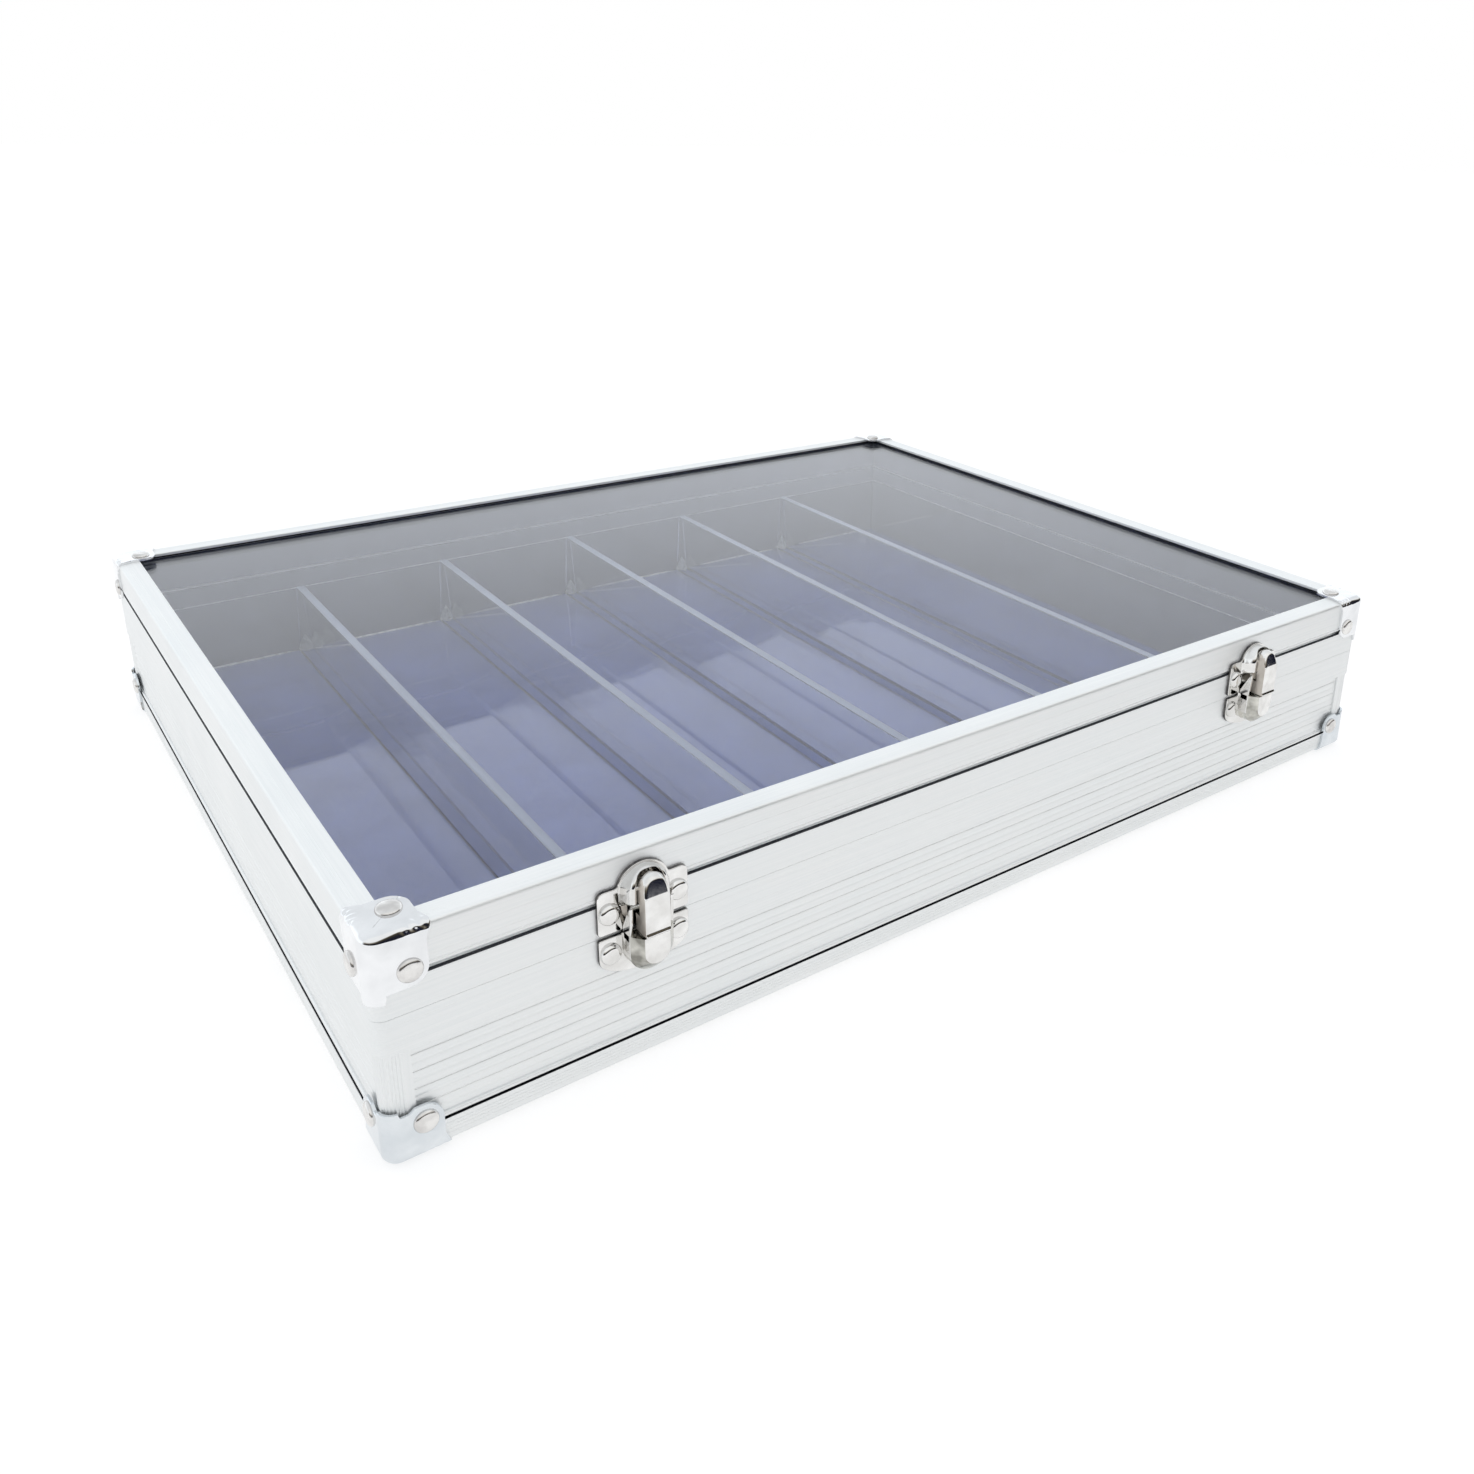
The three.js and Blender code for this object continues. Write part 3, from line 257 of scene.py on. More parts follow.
def speckled(name, scale, dark, light, rough, **uniform):
    """A material whose colour and roughness follow one fine noise, with other sockets set as given."""
    material, tree, shader = new_material(name)
    mask = noise_mask(tree, scale)
    link(tree, blended(tree, mask, dark, light), shader.inputs["Base Color"])
    link(tree, ranged(tree, mask, *rough), shader.inputs["Roughness"])
    fill(shader, **uniform)
    return material


def metal(name, stretch, dark, light, rough, bump=0.1, cloud_scale=30.0, metallic=1.0):
    """A metal whose colour and roughness follow its drawn lines and its slow clouds."""
    material, tree, shader = new_material(name)
    fill(shader, Metallic=metallic)
    grain = tree.nodes.new("ShaderNodeGroup")
    grain.node_tree = grain_group
    fill(grain, Stretch=stretch, Cloud_Scale=cloud_scale, Bump=bump)
    both = maths(tree, "ADD", grain.outputs["Lines"], grain.outputs["Clouds"])
    colour = blended(tree, ranged(tree, both, 0, 1, 0.7, 1.3), dark, light)
    link(tree, colour, shader.inputs["Base Color"])
    link(tree, ranged(tree, both, *rough, 0.7, 1.3), shader.inputs["Roughness"])
    link(tree, grain.outputs["Normal"], shader.inputs["Normal"])
    return material


ALUMINIUM_DARK, ALUMINIUM_LIGHT = (0.85, 0.87, 0.87), (0.935, 0.945, 0.94)
SATIN = {"dark": ALUMINIUM_DARK, "light": ALUMINIUM_LIGHT, "rough": (0.40, 0.54), "metallic": 0.8}
aluminium = {
    "front": metal("satin_rail_lengthwise", (25, 1800, 1800), **SATIN),
    "left": metal("satin_rail_crosswise", (1800, 25, 1800), **SATIN),
}
aluminium["back"], aluminium["right"] = aluminium["front"], aluminium["left"]

DRAWN_LINES = (7.0, 6.0, 5.1, 4.1)
DRAWN_LINE_HALF, DRAWN_LINE_DEEP = 0.17, 0.06


def drawn_face(heights, depth=0.0, half=DRAWN_LINE_HALF, deep=DRAWN_LINE_DEEP):
    """Points down a standing face with a small V at each height: edge, bottom, edge."""
    return [(depth + d, z + s) for z in heights for d, s in ((0, half), (deep, 0), (0, -half))]


RAIL_LOW, RAIL_LEG_TOP, FLANGE_TOP = 1.82, 8.3, 3.02
rail_outline = [
    (0, RAIL_LEG_TOP), *drawn_face(DRAWN_LINES), (0, RAIL_LOW), (7.8, RAIL_LOW), (7.8, FLANGE_TOP),
    (1.4, FLANGE_TOP), (1.4, RAIL_LEG_TOP - 0.55), (0.2, RAIL_LEG_TOP - 0.1),
]
rail_rounding = [0.08] + [0.06] * (3 * len(DRAWN_LINES)) + [1.4, 0.3, 0.3, 0.1, 0.05, 0.05]

# Black for gaps and recesses: painted shade on the rail's leg top, the panel's foot and the skirt's ledge,
# and the bottom board's own black.
painted_shade_and_board_black = speckled("painted_shade_and_board_black", 900.0, (0.006, 0.007, 0.012), (0.02, 0.022, 0.032), (0.5, 0.8))


def paint_faces(piece, rule):
    """Gives each face the material whose number rule(centres in mm, normals) says."""
    polygons = piece.data.polygons
    centres = np.array([face.center[:] for face in polygons]) * 1000
    normals = np.array([face.normal[:] for face in polygons])
    polygons.foreach_set("material_index", rule(centres, normals).astype(np.int32))


def rail_looks(centres, normals):
    """The sloping top of the rail's leg is painted black: painted shade in the gap under the panel's bead."""
    up = centres[:, 2]
    return (up > RAIL_LEG_TOP - 0.54) & (up < RAIL_LEG_TOP - 0.06) & (normals[:, 2] > 0.5)


def make_sides(name, node, outline, body, finishes=(), looks=None):
    """Makes the four mitred lengths of one drawn profile, each with its grain along it."""
    for quarter, side in enumerate(SIDES):
        length = make_piece(
            f"{name}_{side}", along_side(outline, quarter), [aluminium[side], *finishes], body,
            [f"{node}_{side}"],
        )
        if looks:
            paint_faces(length, looks)


rail_section = softened(rail_outline, rail_rounding, 4)
make_sides("bottom_rail_drawn", "bottom_rail", rail_section, "base", [painted_shade_and_board_black], rail_looks)


# Ribbed wall panels: thin extruded aluminium with four pairs of ribs and a bead along the foot; the faces in
# the gap under the bead are painted black, painted shade. They slide into the corner columns and stand behind
# the bottom rail's leg.
PANEL_FACE, PANEL_BACK, PANEL_FOOT, BEAD_LOW = 1.0, 3.4, 1.45, 8.75
RIM_LOW, RIB_LOW, RIB_PITCH = 31.5, 11.8, 4.925
COLUMN_SIDE = 7.6


def rib_outline():
    """Outline of the panel as (inward, up): each pair of ribs has a deep groove below it and a fine one
    inside it."""
    points, rounding = [], []
    for rib in range(3, -1, -1):
        soft = RIB_LOW + rib * RIB_PITCH + 0.35
        fine = soft + 2.4
        for middle, half, deep, radius in ((fine, 0.25, 0.14, 0.1), (soft, 0.6, 0.12, 0.35)):
            points += [(PANEL_FACE + d, middle + side * half) for side, d in ((1, 0), (0, deep), (-1, 0))]
            rounding += [radius] * 3
    return points, rounding


rib_points, rib_rounding = rib_outline()
panel_outline = [
    (PANEL_FACE, RIM_LOW), *rib_points, (PANEL_FACE, 10.2), (PANEL_FACE + 0.15, 10.0), (0.35, 9.9),
    (0.3, BEAD_LOW), (PANEL_FOOT, BEAD_LOW), (PANEL_FOOT, FLANGE_TOP), (PANEL_BACK, FLANGE_TOP),
    (PANEL_BACK, RIM_LOW),
]
panel_rounding = [0.05, *rib_rounding, 0.05, 0.05, 0.4, 0.3, 0.05, 0.05, 0.05, 0.05]


def ring_at(outline, axis, at):
    """Stands a flat outline in space: its plane crosses X (0), Y (1) or Z (2) at a given place."""
    return np.insert(np.array(outline, float), axis, at, axis=1)


def straight_bar(outline, half_run, across, quarter):
    """Carries a closed outline of (inward, up) points in a straight line along one side."""
    outline = np.array(outline, float) - (across, 0)
    return lofted(turned([ring_at(outline, 0, end * half_run) for end in (-1, 1)], quarter))


for quarter, side in enumerate(SIDES):
    run, across = (HALF_LENGTH, HALF_DEPTH) if quarter % 2 == 0 else (HALF_DEPTH, HALF_LENGTH)
    panel = make_piece(
        f"ribbed_wall_{side}",
        straight_bar(softened(panel_outline, panel_rounding, 3), run - COLUMN_SIDE - 0.05, across, quarter),
        [aluminium[side], painted_shade_and_board_black], "base", [f"ribbed_panel_{side}"], sharp=60,
    )
    # The faces below the bead are painted black: painted shade in the gap.
    paint_faces(panel, lambda centres, normals: centres[:, 2] < BEAD_LOW + 0.03)


# Linings: slate blue felt on the floor and darker grey felt on the walls, both glued down, over a black
# bottom board.
def dress(node, material):
    """Gives a CAD node a finished material in place of its plain one."""
    nodes[node].data.materials.clear()
    nodes[node].data.materials.append(material)


def felt(name, dark, light, sheen):
    """Short pressed fibres: two scales of noise mix the colours and raise the nap."""
    material, tree, shader = new_material(name)
    fibres = noise_mask(tree, 2600.0, 5.0)
    total = maths(tree, "ADD", fibres, noise_mask(tree, 60.0, 3.0))
    colour = blended(tree, ranged(tree, total, 0, 1, 0.75, 1.25), dark, light)
    link(tree, colour, shader.inputs["Base Color"])
    link(tree, ranged(tree, fibres, 0.85, 1.0), shader.inputs["Roughness"])
    fill(shader, Sheen_Weight=sheen, Sheen_Roughness=0.5, Specular_IOR_Level=0.2)
    bump = fill(tree.nodes.new("ShaderNodeBump"), Distance=0.0002, Strength=0.5)
    link(tree, fibres, bump.inputs["Height"])
    link(tree, bump.outputs["Normal"], shader.inputs["Normal"])
    return material


floor_felt = felt("floor_felt", (0.09, 0.14, 0.44), (0.14, 0.205, 0.60), 0.05)
wall_felt = felt("wall_felt", (0.13, 0.14, 0.175), (0.175, 0.19, 0.235), 0.05)
dress("floor_lining", floor_felt)
for side in SIDES:
    dress(f"wall_lining_{side}", wall_felt)
dress("bottom_panel", painted_shade_and_board_black)


# Base rim and lid skirt: two flat extruded bands that meet in a hairline seam, one on the base and one on
# the lid. The rim carries the tongue that the lid closes over, and one faint drawn line below the middle.
RIM_TOP, TONGUE_TOP = 41.6, 44.0
rim_outline = [
    (0, RIM_TOP), *drawn_face([39.6, 35.1], half=0.2, deep=0.03), (0, RIM_LOW), (PANEL_BACK, RIM_LOW),
    (PANEL_BACK, TONGUE_TOP), (2.2, TONGUE_TOP), (2.2, RIM_TOP),
]
rim_rounding = [0.06] + [0.08] * 6 + [0.2, 0.05, 0.3, 0.3, 0.05]
SKIRT_LOW, SKIRT_TOP, GLASS_LOW, LEDGE_PAINTED_SHADE = 41.66, 50.9, 58.5, 0.95
skirt_outline = [
    (0.25, SKIRT_TOP), (0, SKIRT_TOP - 0.3), (0, SKIRT_LOW), (1.9, SKIRT_LOW), (1.9, 44.6), (4.4, 44.6),
    (4.4, GLASS_LOW), (1.6, GLASS_LOW), (1.6, SKIRT_TOP), (LEDGE_PAINTED_SHADE, SKIRT_TOP),
]
skirt_rounding = [0.1, 0.15, 0.03, 0.1, 0.1, 0.2, 0.05, 0.05, 0.1, 0.05]


def skirt_looks(centres, normals):
    """The outer part of the skirt's ledge is painted black as the recess's painted shade, and felt lines its
    inner side.
    """
    outward = np.sum(centres[:, :2] * normals[:, :2], 1) > 0
    ledge = (centres[:, 2] > SKIRT_TOP - 0.3) & (centres[:, 2] < 55) & (normals[:, 2] > 0.3)
    across = HALF_DEPTH - np.abs(centres[:, 1] - CENTRING_SHIFT)
    deep = np.minimum(HALF_LENGTH - np.abs(centres[:, 0]), across)
    lined = ~outward & (np.abs(normals[:, 2]) < 0.5) & (centres[:, 2] > 45)
    return (ledge & (deep < LEDGE_PAINTED_SHADE)) + 2 * lined


skirt_section = softened(skirt_outline, skirt_rounding, 5)
make_sides("base_rim_drawn", "base_rim", softened(rim_outline, rim_rounding, 4), "base")
make_sides("lid_skirt_drawn", "lid_skirt", skirt_section, "lid", [painted_shade_and_board_black, wall_felt], skirt_looks)


# Lid rail: the extruded angle that holds the glass. Fine lines run along its top flange and its leg,
# and a bead runs along its lower edge over the black recess.
CASE_TOP, LID_FLANGE_LOW, LID_RAIL_LOW = 63.5, 62.3, 52.2
FLANGE_LINES = (2.3, 3.0, 3.7)
lid_rail_outline = [
    (0, CASE_TOP), *drawn_face([59.1, 55.1], half=0.15, deep=0.03),
    (0, 53.4), (0.3, 53.15), (0, 52.9), (0, LID_RAIL_LOW), (1.55, LID_RAIL_LOW), (1.55, LID_FLANGE_LOW),
    (7.5, LID_FLANGE_LOW), (7.5, CASE_TOP),
    *[(d + s, CASE_TOP - deep) for d in FLANGE_LINES[::-1] for s, deep in ((0.15, 0), (0, 0.05), (-0.15, 0))],
]
lid_rail_rounding = [1.4] + [0.06] * 6 + [0.1, 0.1, 0.1, 0.25, 0.1, 0.05, 0.15, 0.4] + [0.06] * 9
make_sides("lid_rail_drawn", "lid_rail", softened(lid_rail_outline, lid_rail_rounding, 5), "lid")


# Corner columns: fluted aluminium quarter posts between the base caps and the rim, hollowed behind.
# Eleven shallow flutes run round the corner and a plain land meets the ribbed panel on each side.
COLUMN_FACE = 0.4


def column_outline(flutes=11, deep=0.2, plain=2.0, per_flute=6):
    """Section of a column from the case corner: depth under the face is deep * sin^2 of the way through
    each flute, laid along a straight land, a quarter circle and a second straight land."""
    radius = CORNER_RADIUS - COLUMN_FACE
    straight = COLUMN_SIDE - plain - CORNER_RADIUS
    arc = radius * math.pi / 2
    along = np.linspace(0, 2 * straight + arc, flutes * per_flute + 1)
    sunk = deep * np.sin(np.pi * flutes * along / along[-1]) ** 2
    angle = np.clip((along - straight) / radius, 0, math.pi / 2)
    reach = radius - sunk
    x = CORNER_RADIUS - reach * np.sin(angle) + np.clip(straight - along, 0, None)
    y = CORNER_RADIUS - reach * np.cos(angle) + np.clip(along - straight - arc, 0, None)
    back = [
        (PANEL_FACE, COLUMN_SIDE), (PANEL_BACK, COLUMN_SIDE), (PANEL_BACK, PANEL_BACK),
        (COLUMN_SIDE, PANEL_BACK), (COLUMN_SIDE, COLUMN_FACE),
    ]
    return np.concatenate([np.stack([x, y], -1), np.array(back)])


column_metal = metal("satin_column", (1800, 1800, 25), **SATIN)
CORNERS = {"front_left": (1, 1), "front_right": (-1, 1), "back_right": (-1, -1), "back_left": (1, -1)}


def at_corner(surface, corner):
    """Moves a surface drawn from the front left case corner to its own corner, mirrored in X and Y as
    needed."""
    points, faces = surface
    points = np.array(points, float).reshape(-1, 3) + (-HALF_LENGTH, -HALF_DEPTH, 0)
    return points * (*CORNERS[corner], 1), faces


column_rings = [ring_at(column_outline(), 2, up) for up in (RAIL_LEG_TOP + 0.05, RIM_LOW)]
for corner in CORNERS:
    make_piece(
        f"fluted_column_{corner}", at_corner(lofted(column_rings), corner), column_metal, "base",
        [f"corner_column_{corner}"], sharp=60,
    )


# Corner caps: bright pressed steel, one round lobe over each of three faces, folded round the edges and
# riveted. Each is a sheet 0.8 mm thick; its edge is a little turned and its polish is slightly wavy from
# the press.
CAP_SKIN, CAP_THICK, CAP_EDGE = 0.82, 0.8, 2.2
CAP_REACH, LOBE_EDGE, LOBE_RADIUS, CAP_STRIP, CAP_NECK = 14.8, 13.5, 4.6, 0.9, 4.4
LOBE_CENTRE, LOBE_START, NOTCH = LOBE_EDGE - LOBE_RADIUS, 6.9, (3.45, 5.5)
DIAGONAL_END = LOBE_CENTRE + LOBE_RADIUS * math.sqrt(0.5)
OUTER_RADIUS = CORNER_RADIUS + CAP_SKIN


def lobe_arc(x):
    """How far the round end of a lobe stands beyond its centre at x: (R^2 - (x - c)^2)^(1/2)."""
    return np.sqrt(np.clip(LOBE_RADIUS**2 - np.clip(x - LOBE_CENTRE, 0, LOBE_RADIUS) ** 2, 0, None))


def strip_reach(x):
    """How far the narrow strip beyond the lobes reaches, straight from its neck to its end."""
    return np.interp(x, [LOBE_EDGE + 0.01, CAP_REACH], [CAP_NECK, CAP_STRIP])


def wall_reach(x, lobe_end, tab_end, notch_end):
    """How far down a wall the cap reaches at a distance x from the case corner: tab, notch, lobe arc, then
    the strip."""
    arc = lobe_end - LOBE_RADIUS + lobe_arc(x)
    notch = np.interp(x, [3.3, *NOTCH, LOBE_START], [tab_end, notch_end, notch_end, lobe_end])
    return np.where(x > LOBE_EDGE, strip_reach(x), np.where(x < LOBE_START, notch, arc))


def level_reach(x):
    """How far inward the level lobe reaches at a distance x from the case corner: the diagonal, the lobe
    arc, the strip."""
    within = np.where(x < DIAGONAL_END, x, LOBE_CENTRE + lobe_arc(x))
    return np.where(x > LOBE_EDGE, strip_reach(x), within)


def bent_sheet(q, under, edge=CAP_EDGE):
    """Cross-section of the cap as (depth from the wall's skin, distance from the level skin) at a path
    length q from the middle of the bend, and at a distance under the skin: level for q < -L, a quarter
    circle, then down the wall."""
    half = edge * math.pi / 4
    angle = np.clip((q + half) / edge, 0, math.pi / 2)
    depth = edge - (edge - under) * np.sin(angle) + np.clip(-half - q, 0, None)
    away = edge - (edge - under) * np.cos(angle) + np.clip(q - half, 0, None)
    return depth, away


def path_length(reach, edge=CAP_EDGE):
    """Path length from the middle of the bend to a point that lies a given reach from the other face's
    skin."""
    half = edge * math.pi / 4
    on_arc = -half + edge * np.arccos(np.clip(1 - reach / edge, -1, 1))
    return np.where(reach < edge, on_arc, half + reach - edge)


FOLD_PLACE, FOLD_END, GATHERED_END = 0.96, 8.3, 8.65
WAVE_DEEP, FOLDED_ABOVE = 0.012, 0.02


def fold(x, q):
    """Depth of the flat that the press left on the bend: a chord of half width w cuts w^2 / 2R off the
    round of radius R, less the square of the way across; w grows from the corner to the rivet and is even
    in the gathered part beyond."""
    half = np.interp(x, [2.6, 7.6, FOLD_END, GATHERED_END, CAP_REACH], [0.3, 0.9, 0.8, 0.62, 0.7])
    share = np.interp(x, [1.5, 3.0, FOLD_END, GATHERED_END, CAP_REACH], [0.0, 0.8, 0.8, 1.0, 1.0])
    return share * half**2 / (2 * CAP_EDGE) * np.clip(1 - ((q - FOLD_PLACE) / half) ** 2, 0, None)


def press_marks(x, q, crumple, seed):
    """Depth of the press's marks: three slow waves all over, and short ones on the bend beyond the rivet
    where the sheet gathered; each is a sine of k x + l q + phase, and the short ones fade with a bell over
    x and q."""
    rng = np.random.default_rng(seed)
    total = np.zeros(np.broadcast(x, q).shape)
    for _ in range(3):
        k, l = rng.uniform(-0.7, 0.7, 2)
        total = total + WAVE_DEEP * np.sin(k * x + l * q + rng.uniform(0, 6.3))
    window = np.clip((x - 7.2) / 1.5, 0, 1) * np.exp(-((q + 0.2) / 1.5) ** 2)
    for _ in range(5):
        k, l = rng.uniform(1.5, 4.5), rng.uniform(-2.5, 2.5)
        total = total + crumple * window * np.sin(k * x + l * q + rng.uniform(0, 6.3))
    return total + (fold(x, q) if crumple > FOLDED_ABOVE else 0.0)


def cap_half(lobe_end, tab_end, notch_end, crumple, seed, chamfer=0.18):
    """Grid of points over the front half of a cap: one column for each place along the wall, rows round the
    sheet's section."""
    arc = np.linspace(math.pi / 4, 0, 9)[:-1]
    x = np.concatenate([
        np.linspace(CORNER_RADIUS, LOBE_START, 12), np.linspace(LOBE_START, DIAGONAL_END, 21)[1:],
        LOBE_CENTRE + LOBE_RADIUS * np.sin(np.linspace(math.asin(math.sqrt(0.5)), math.pi / 2, 13)[1:]),
        [LOBE_EDGE + 0.01], np.linspace(LOBE_EDGE + 0.02, CAP_REACH, 5),
    ])
    x = np.unique(np.concatenate([x, NOTCH]))
    angle = np.concatenate([arc, np.zeros(len(x))])
    place = np.concatenate([CORNER_RADIUS * (1 - np.tan(arc)), x])
    on_arc = np.arange(len(place)) < len(arc)
    down = np.where(on_arc, tab_end, wall_reach(place, lobe_end, tab_end, notch_end))
    inner = np.where(on_arc, OUTER_RADIUS, level_reach(place) + CAP_SKIN)
    open_inside = ~on_arc & (place > DIAGONAL_END - 1e-6)
    q1 = path_length(down)
    q0 = -path_length(inner)
    half = CAP_EDGE * math.pi / 4
    first, last = q0 + np.where(open_inside, chamfer, 0), q1 - chamfer
    level_end = np.maximum(first, -half)
    bend_end = np.maximum(np.minimum(last, half), level_end)
    t, fine = np.linspace(0, 1, 13)[:, None], np.linspace(0, 1, 25)[:, None]
    top = np.concatenate([
        first + (level_end - first) * t, (level_end + (bend_end - level_end) * fine)[1:],
        (bend_end + (last - bend_end) * t)[1:],
    ])
    rows = [(q, press_marks(place, q, crumple, seed)) for q in top]
    rows += [(q1, chamfer), (q1, CAP_THICK)] + [(q, CAP_THICK) for q in top[::-1][::3]]
    rows += [(q0, CAP_THICK), (q0, np.where(open_inside, chamfer, 0.0))]
    q = np.array([np.broadcast_to(r[0], q1.shape) for r in rows])
    under = np.array([np.broadcast_to(r[1], q1.shape) for r in rows])
    depth, away = bent_sheet(q, under)
    radius = np.maximum(OUTER_RADIUS - depth, 0)
    px = np.where(on_arc, CORNER_RADIUS - radius * np.sin(angle), place)
    py = np.where(on_arc, CORNER_RADIUS - radius * np.cos(angle), depth - CAP_SKIN)
    return np.stack([px, py, away], -1), open_inside


def cap_sheet(*form):
    """The whole pressed sheet: the front half and its mirror image over the corner's diagonal, closed along
    every free edge."""
    grid, open_inside = cap_half(*form)
    rows, columns = grid.shape[:2]
    quads = np.array(grid_faces(rows, columns, closed_rows=True)).reshape(rows, columns - 1, 4)
    keep = np.ones((rows, columns - 1), bool)
    keep[-1] = open_inside[1:]
    keep[-2] = open_inside[1:]
    faces = quads[keep].tolist()
    faces.append([row * columns + columns - 1 for row in range(rows)])
    other = cap_half(*form[:-1], form[-1] + 50)[0]
    share = np.clip(np.arange(columns) / 10, 0, 1)[:, None]
    mirrored = (grid + (other - grid) * share)[..., [1, 0, 2]]
    return joined((grid, faces), (mirrored, faces))


def circle(count):
    """Points (cos a, sin a) round a circle of radius 1."""
    angle = np.linspace(0, 2 * math.pi, count, endpoint=False)
    return np.column_stack([np.cos(angle), np.sin(angle)])


def rivet_dome(radius, proud, root=0.3, rings=7, around=32):
    """A low round head standing on z = 0: height proud * (1 - r^5)^(1/2) of the way out, with a short
    straight skirt."""
    r = np.sin(np.linspace(0, math.pi / 2, rings + 1))[::-1]
    z = proud * np.sqrt(np.clip(1 - r**5, 0, None))
    profile = [(radius, -root)] + [(radius * a, b) for a, b in zip(r, z)]
    return lofted([ring_at(circle(around) * a, 2, b) for a, b in profile[:-1]])


def facing(surface, direction, place):
    """Turns a surface drawn facing +Z to face a direction, then moves it to its place."""
    points, faces = surface
    order, signs = {
        "up": ((0, 1, 2), (1, 1, 1)), "down": ((0, 1, 2), (1, 1, -1)), "front": ((0, 2, 1), (1, -1, 1)),
        "back": ((0, 2, 1), (1, 1, 1)), "left": ((2, 1, 0), (-1, 1, 1)),
    }[direction]
    return points[:, order] * signs + place, faces


cap_metal = {
    "lid": metal(
        "lid_cap_chrome", (160, 160, 160), (0.74, 0.75, 0.76), (0.88, 0.89, 0.90), (0.05, 0.14), 0.25, 60.0,
    ),
    # The base caps' chrome is darker and bluer than the lid caps': painted shade.
    "base": metal(
        "base_cap_painted_shade_chrome", (160, 160, 160), (0.61, 0.65, 0.68), (0.78, 0.81, 0.83), (0.1, 0.24), 0.25, 60.0,
    ),
}
rivet_nickel = metal(
    "rivet_nickel", (300, 300, 300), (0.62, 0.605, 0.59), (0.82, 0.81, 0.79), (0.14, 0.26), 0.15, 300.0,
)
BASE_SKIN, LID_SKIN = RAIL_LOW - CAP_SKIN, CASE_TOP + CAP_SKIN
CAP_RIVET, RIVET_INSET, LEVEL_RIVET_INSET = (3.1, 1.0), 9.2, 8.6
# Each form says how far the wall lobe, the corner tab and the notch reach from the level skin, and how deep
# the crumpled bend is.
caps = {
    "base": (1, BASE_SKIN, (15.5 - BASE_SKIN, 15.8 - BASE_SKIN, 14.4 - BASE_SKIN, 0.012), 11.0),
    "lid": (-1, LID_SKIN, (LID_SKIN - 48.6, LID_SKIN - 46.2, LID_SKIN - 48.6, 0.05), 53.2),
}
for kind, (rise, skin, form, rivet_up) in caps.items():
    dome = rivet_dome(*CAP_RIVET)
    rivets = joined(
        facing(dome, "front", (RIVET_INSET, -CAP_SKIN, rivet_up)),
        facing(dome, "left", (-CAP_SKIN, RIVET_INSET, rivet_up)),
        facing(dome, "up" if rise < 0 else "down", (LEVEL_RIVET_INSET, LEVEL_RIVET_INSET, skin)),
    )
    for number, corner in enumerate(CORNERS):
        points, faces = cap_sheet(*form, 7 + 3 * number + (kind == "lid"))
        points = points * (1, 1, rise) + (0, 0, skin)
        make_piece(
            f"{kind}_cap_pressed_{corner}", at_corner((points, faces), corner), cap_metal[kind], kind,
            [f"{kind}_cap_{corner}"],
        )
        make_piece(
            f"{kind}_cap_rivets_{corner}", at_corner(rivets, corner), rivet_nickel, kind, (),
        )


# Glass: one clear float pane under the lid rail's flanges, bedded on a black rubber strip along each edge.
# Shadow rays pass it unbent, so that the felt below is lit as through real glass.
def clear_material(name, colour, rough, ior, tint, grazing):
    """Clear sheet: a transmitting Principled shader, with a Transparent shader in its place for shadow
    rays, which lets less light through where the rays graze the sheet."""
    material, tree, shader = new_material(name)
    fill(shader, Base_Color=(*colour, 1), IOR=ior, Transmission_Weight=1.0)
    link(tree, ranged(tree, noise_mask(tree, 25.0), *rough), shader.inputs["Roughness"])
    through = tree.nodes.new("ShaderNodeBsdfTransparent")
    weight = fill(tree.nodes.new("ShaderNodeLayerWeight"), Blend=0.5)
    shade = blended(tree, ranged(tree, weight.outputs["Facing"], 0, 1, 0.55, 1.0), tint, grazing)
    link(tree, shade, through.inputs["Color"])
    path = tree.nodes.new("ShaderNodeLightPath")
    mix = tree.nodes.new("ShaderNodeMixShader")
    link(tree, path.outputs["Is Shadow Ray"], mix.inputs["Fac"])
    link(tree, shader.outputs[0], mix.inputs[1])
    link(tree, through.outputs[0], mix.inputs[2])
    link(tree, mix.outputs[0], tree.nodes["Material Output"].inputs["Surface"])
    return material


dress("glass_pane", clear_material(
    "lid_glass", (0.97, 0.985, 0.985), (0.0, 0.004), 1.42, (0.95, 0.96, 0.955), (0.5, 0.5, 0.5),
))
seal_rubber = speckled("seal_rubber", 700.0, (0.004, 0.004, 0.006), (0.018, 0.018, 0.022), (0.45, 0.7))
seal_outline = softened([(2.4, 61.52), (6.9, 61.52), (6.9, 62.28), (2.4, 62.28)], [0.1, 0.25, 0.1, 0.1], 3)
for quarter, side in enumerate(SIDES):
    make_piece(
        f"glass_seal_strip_{side}", along_side(seal_outline, quarter), seal_rubber, "lid",
        [f"glass_seal_{side}"],
    )


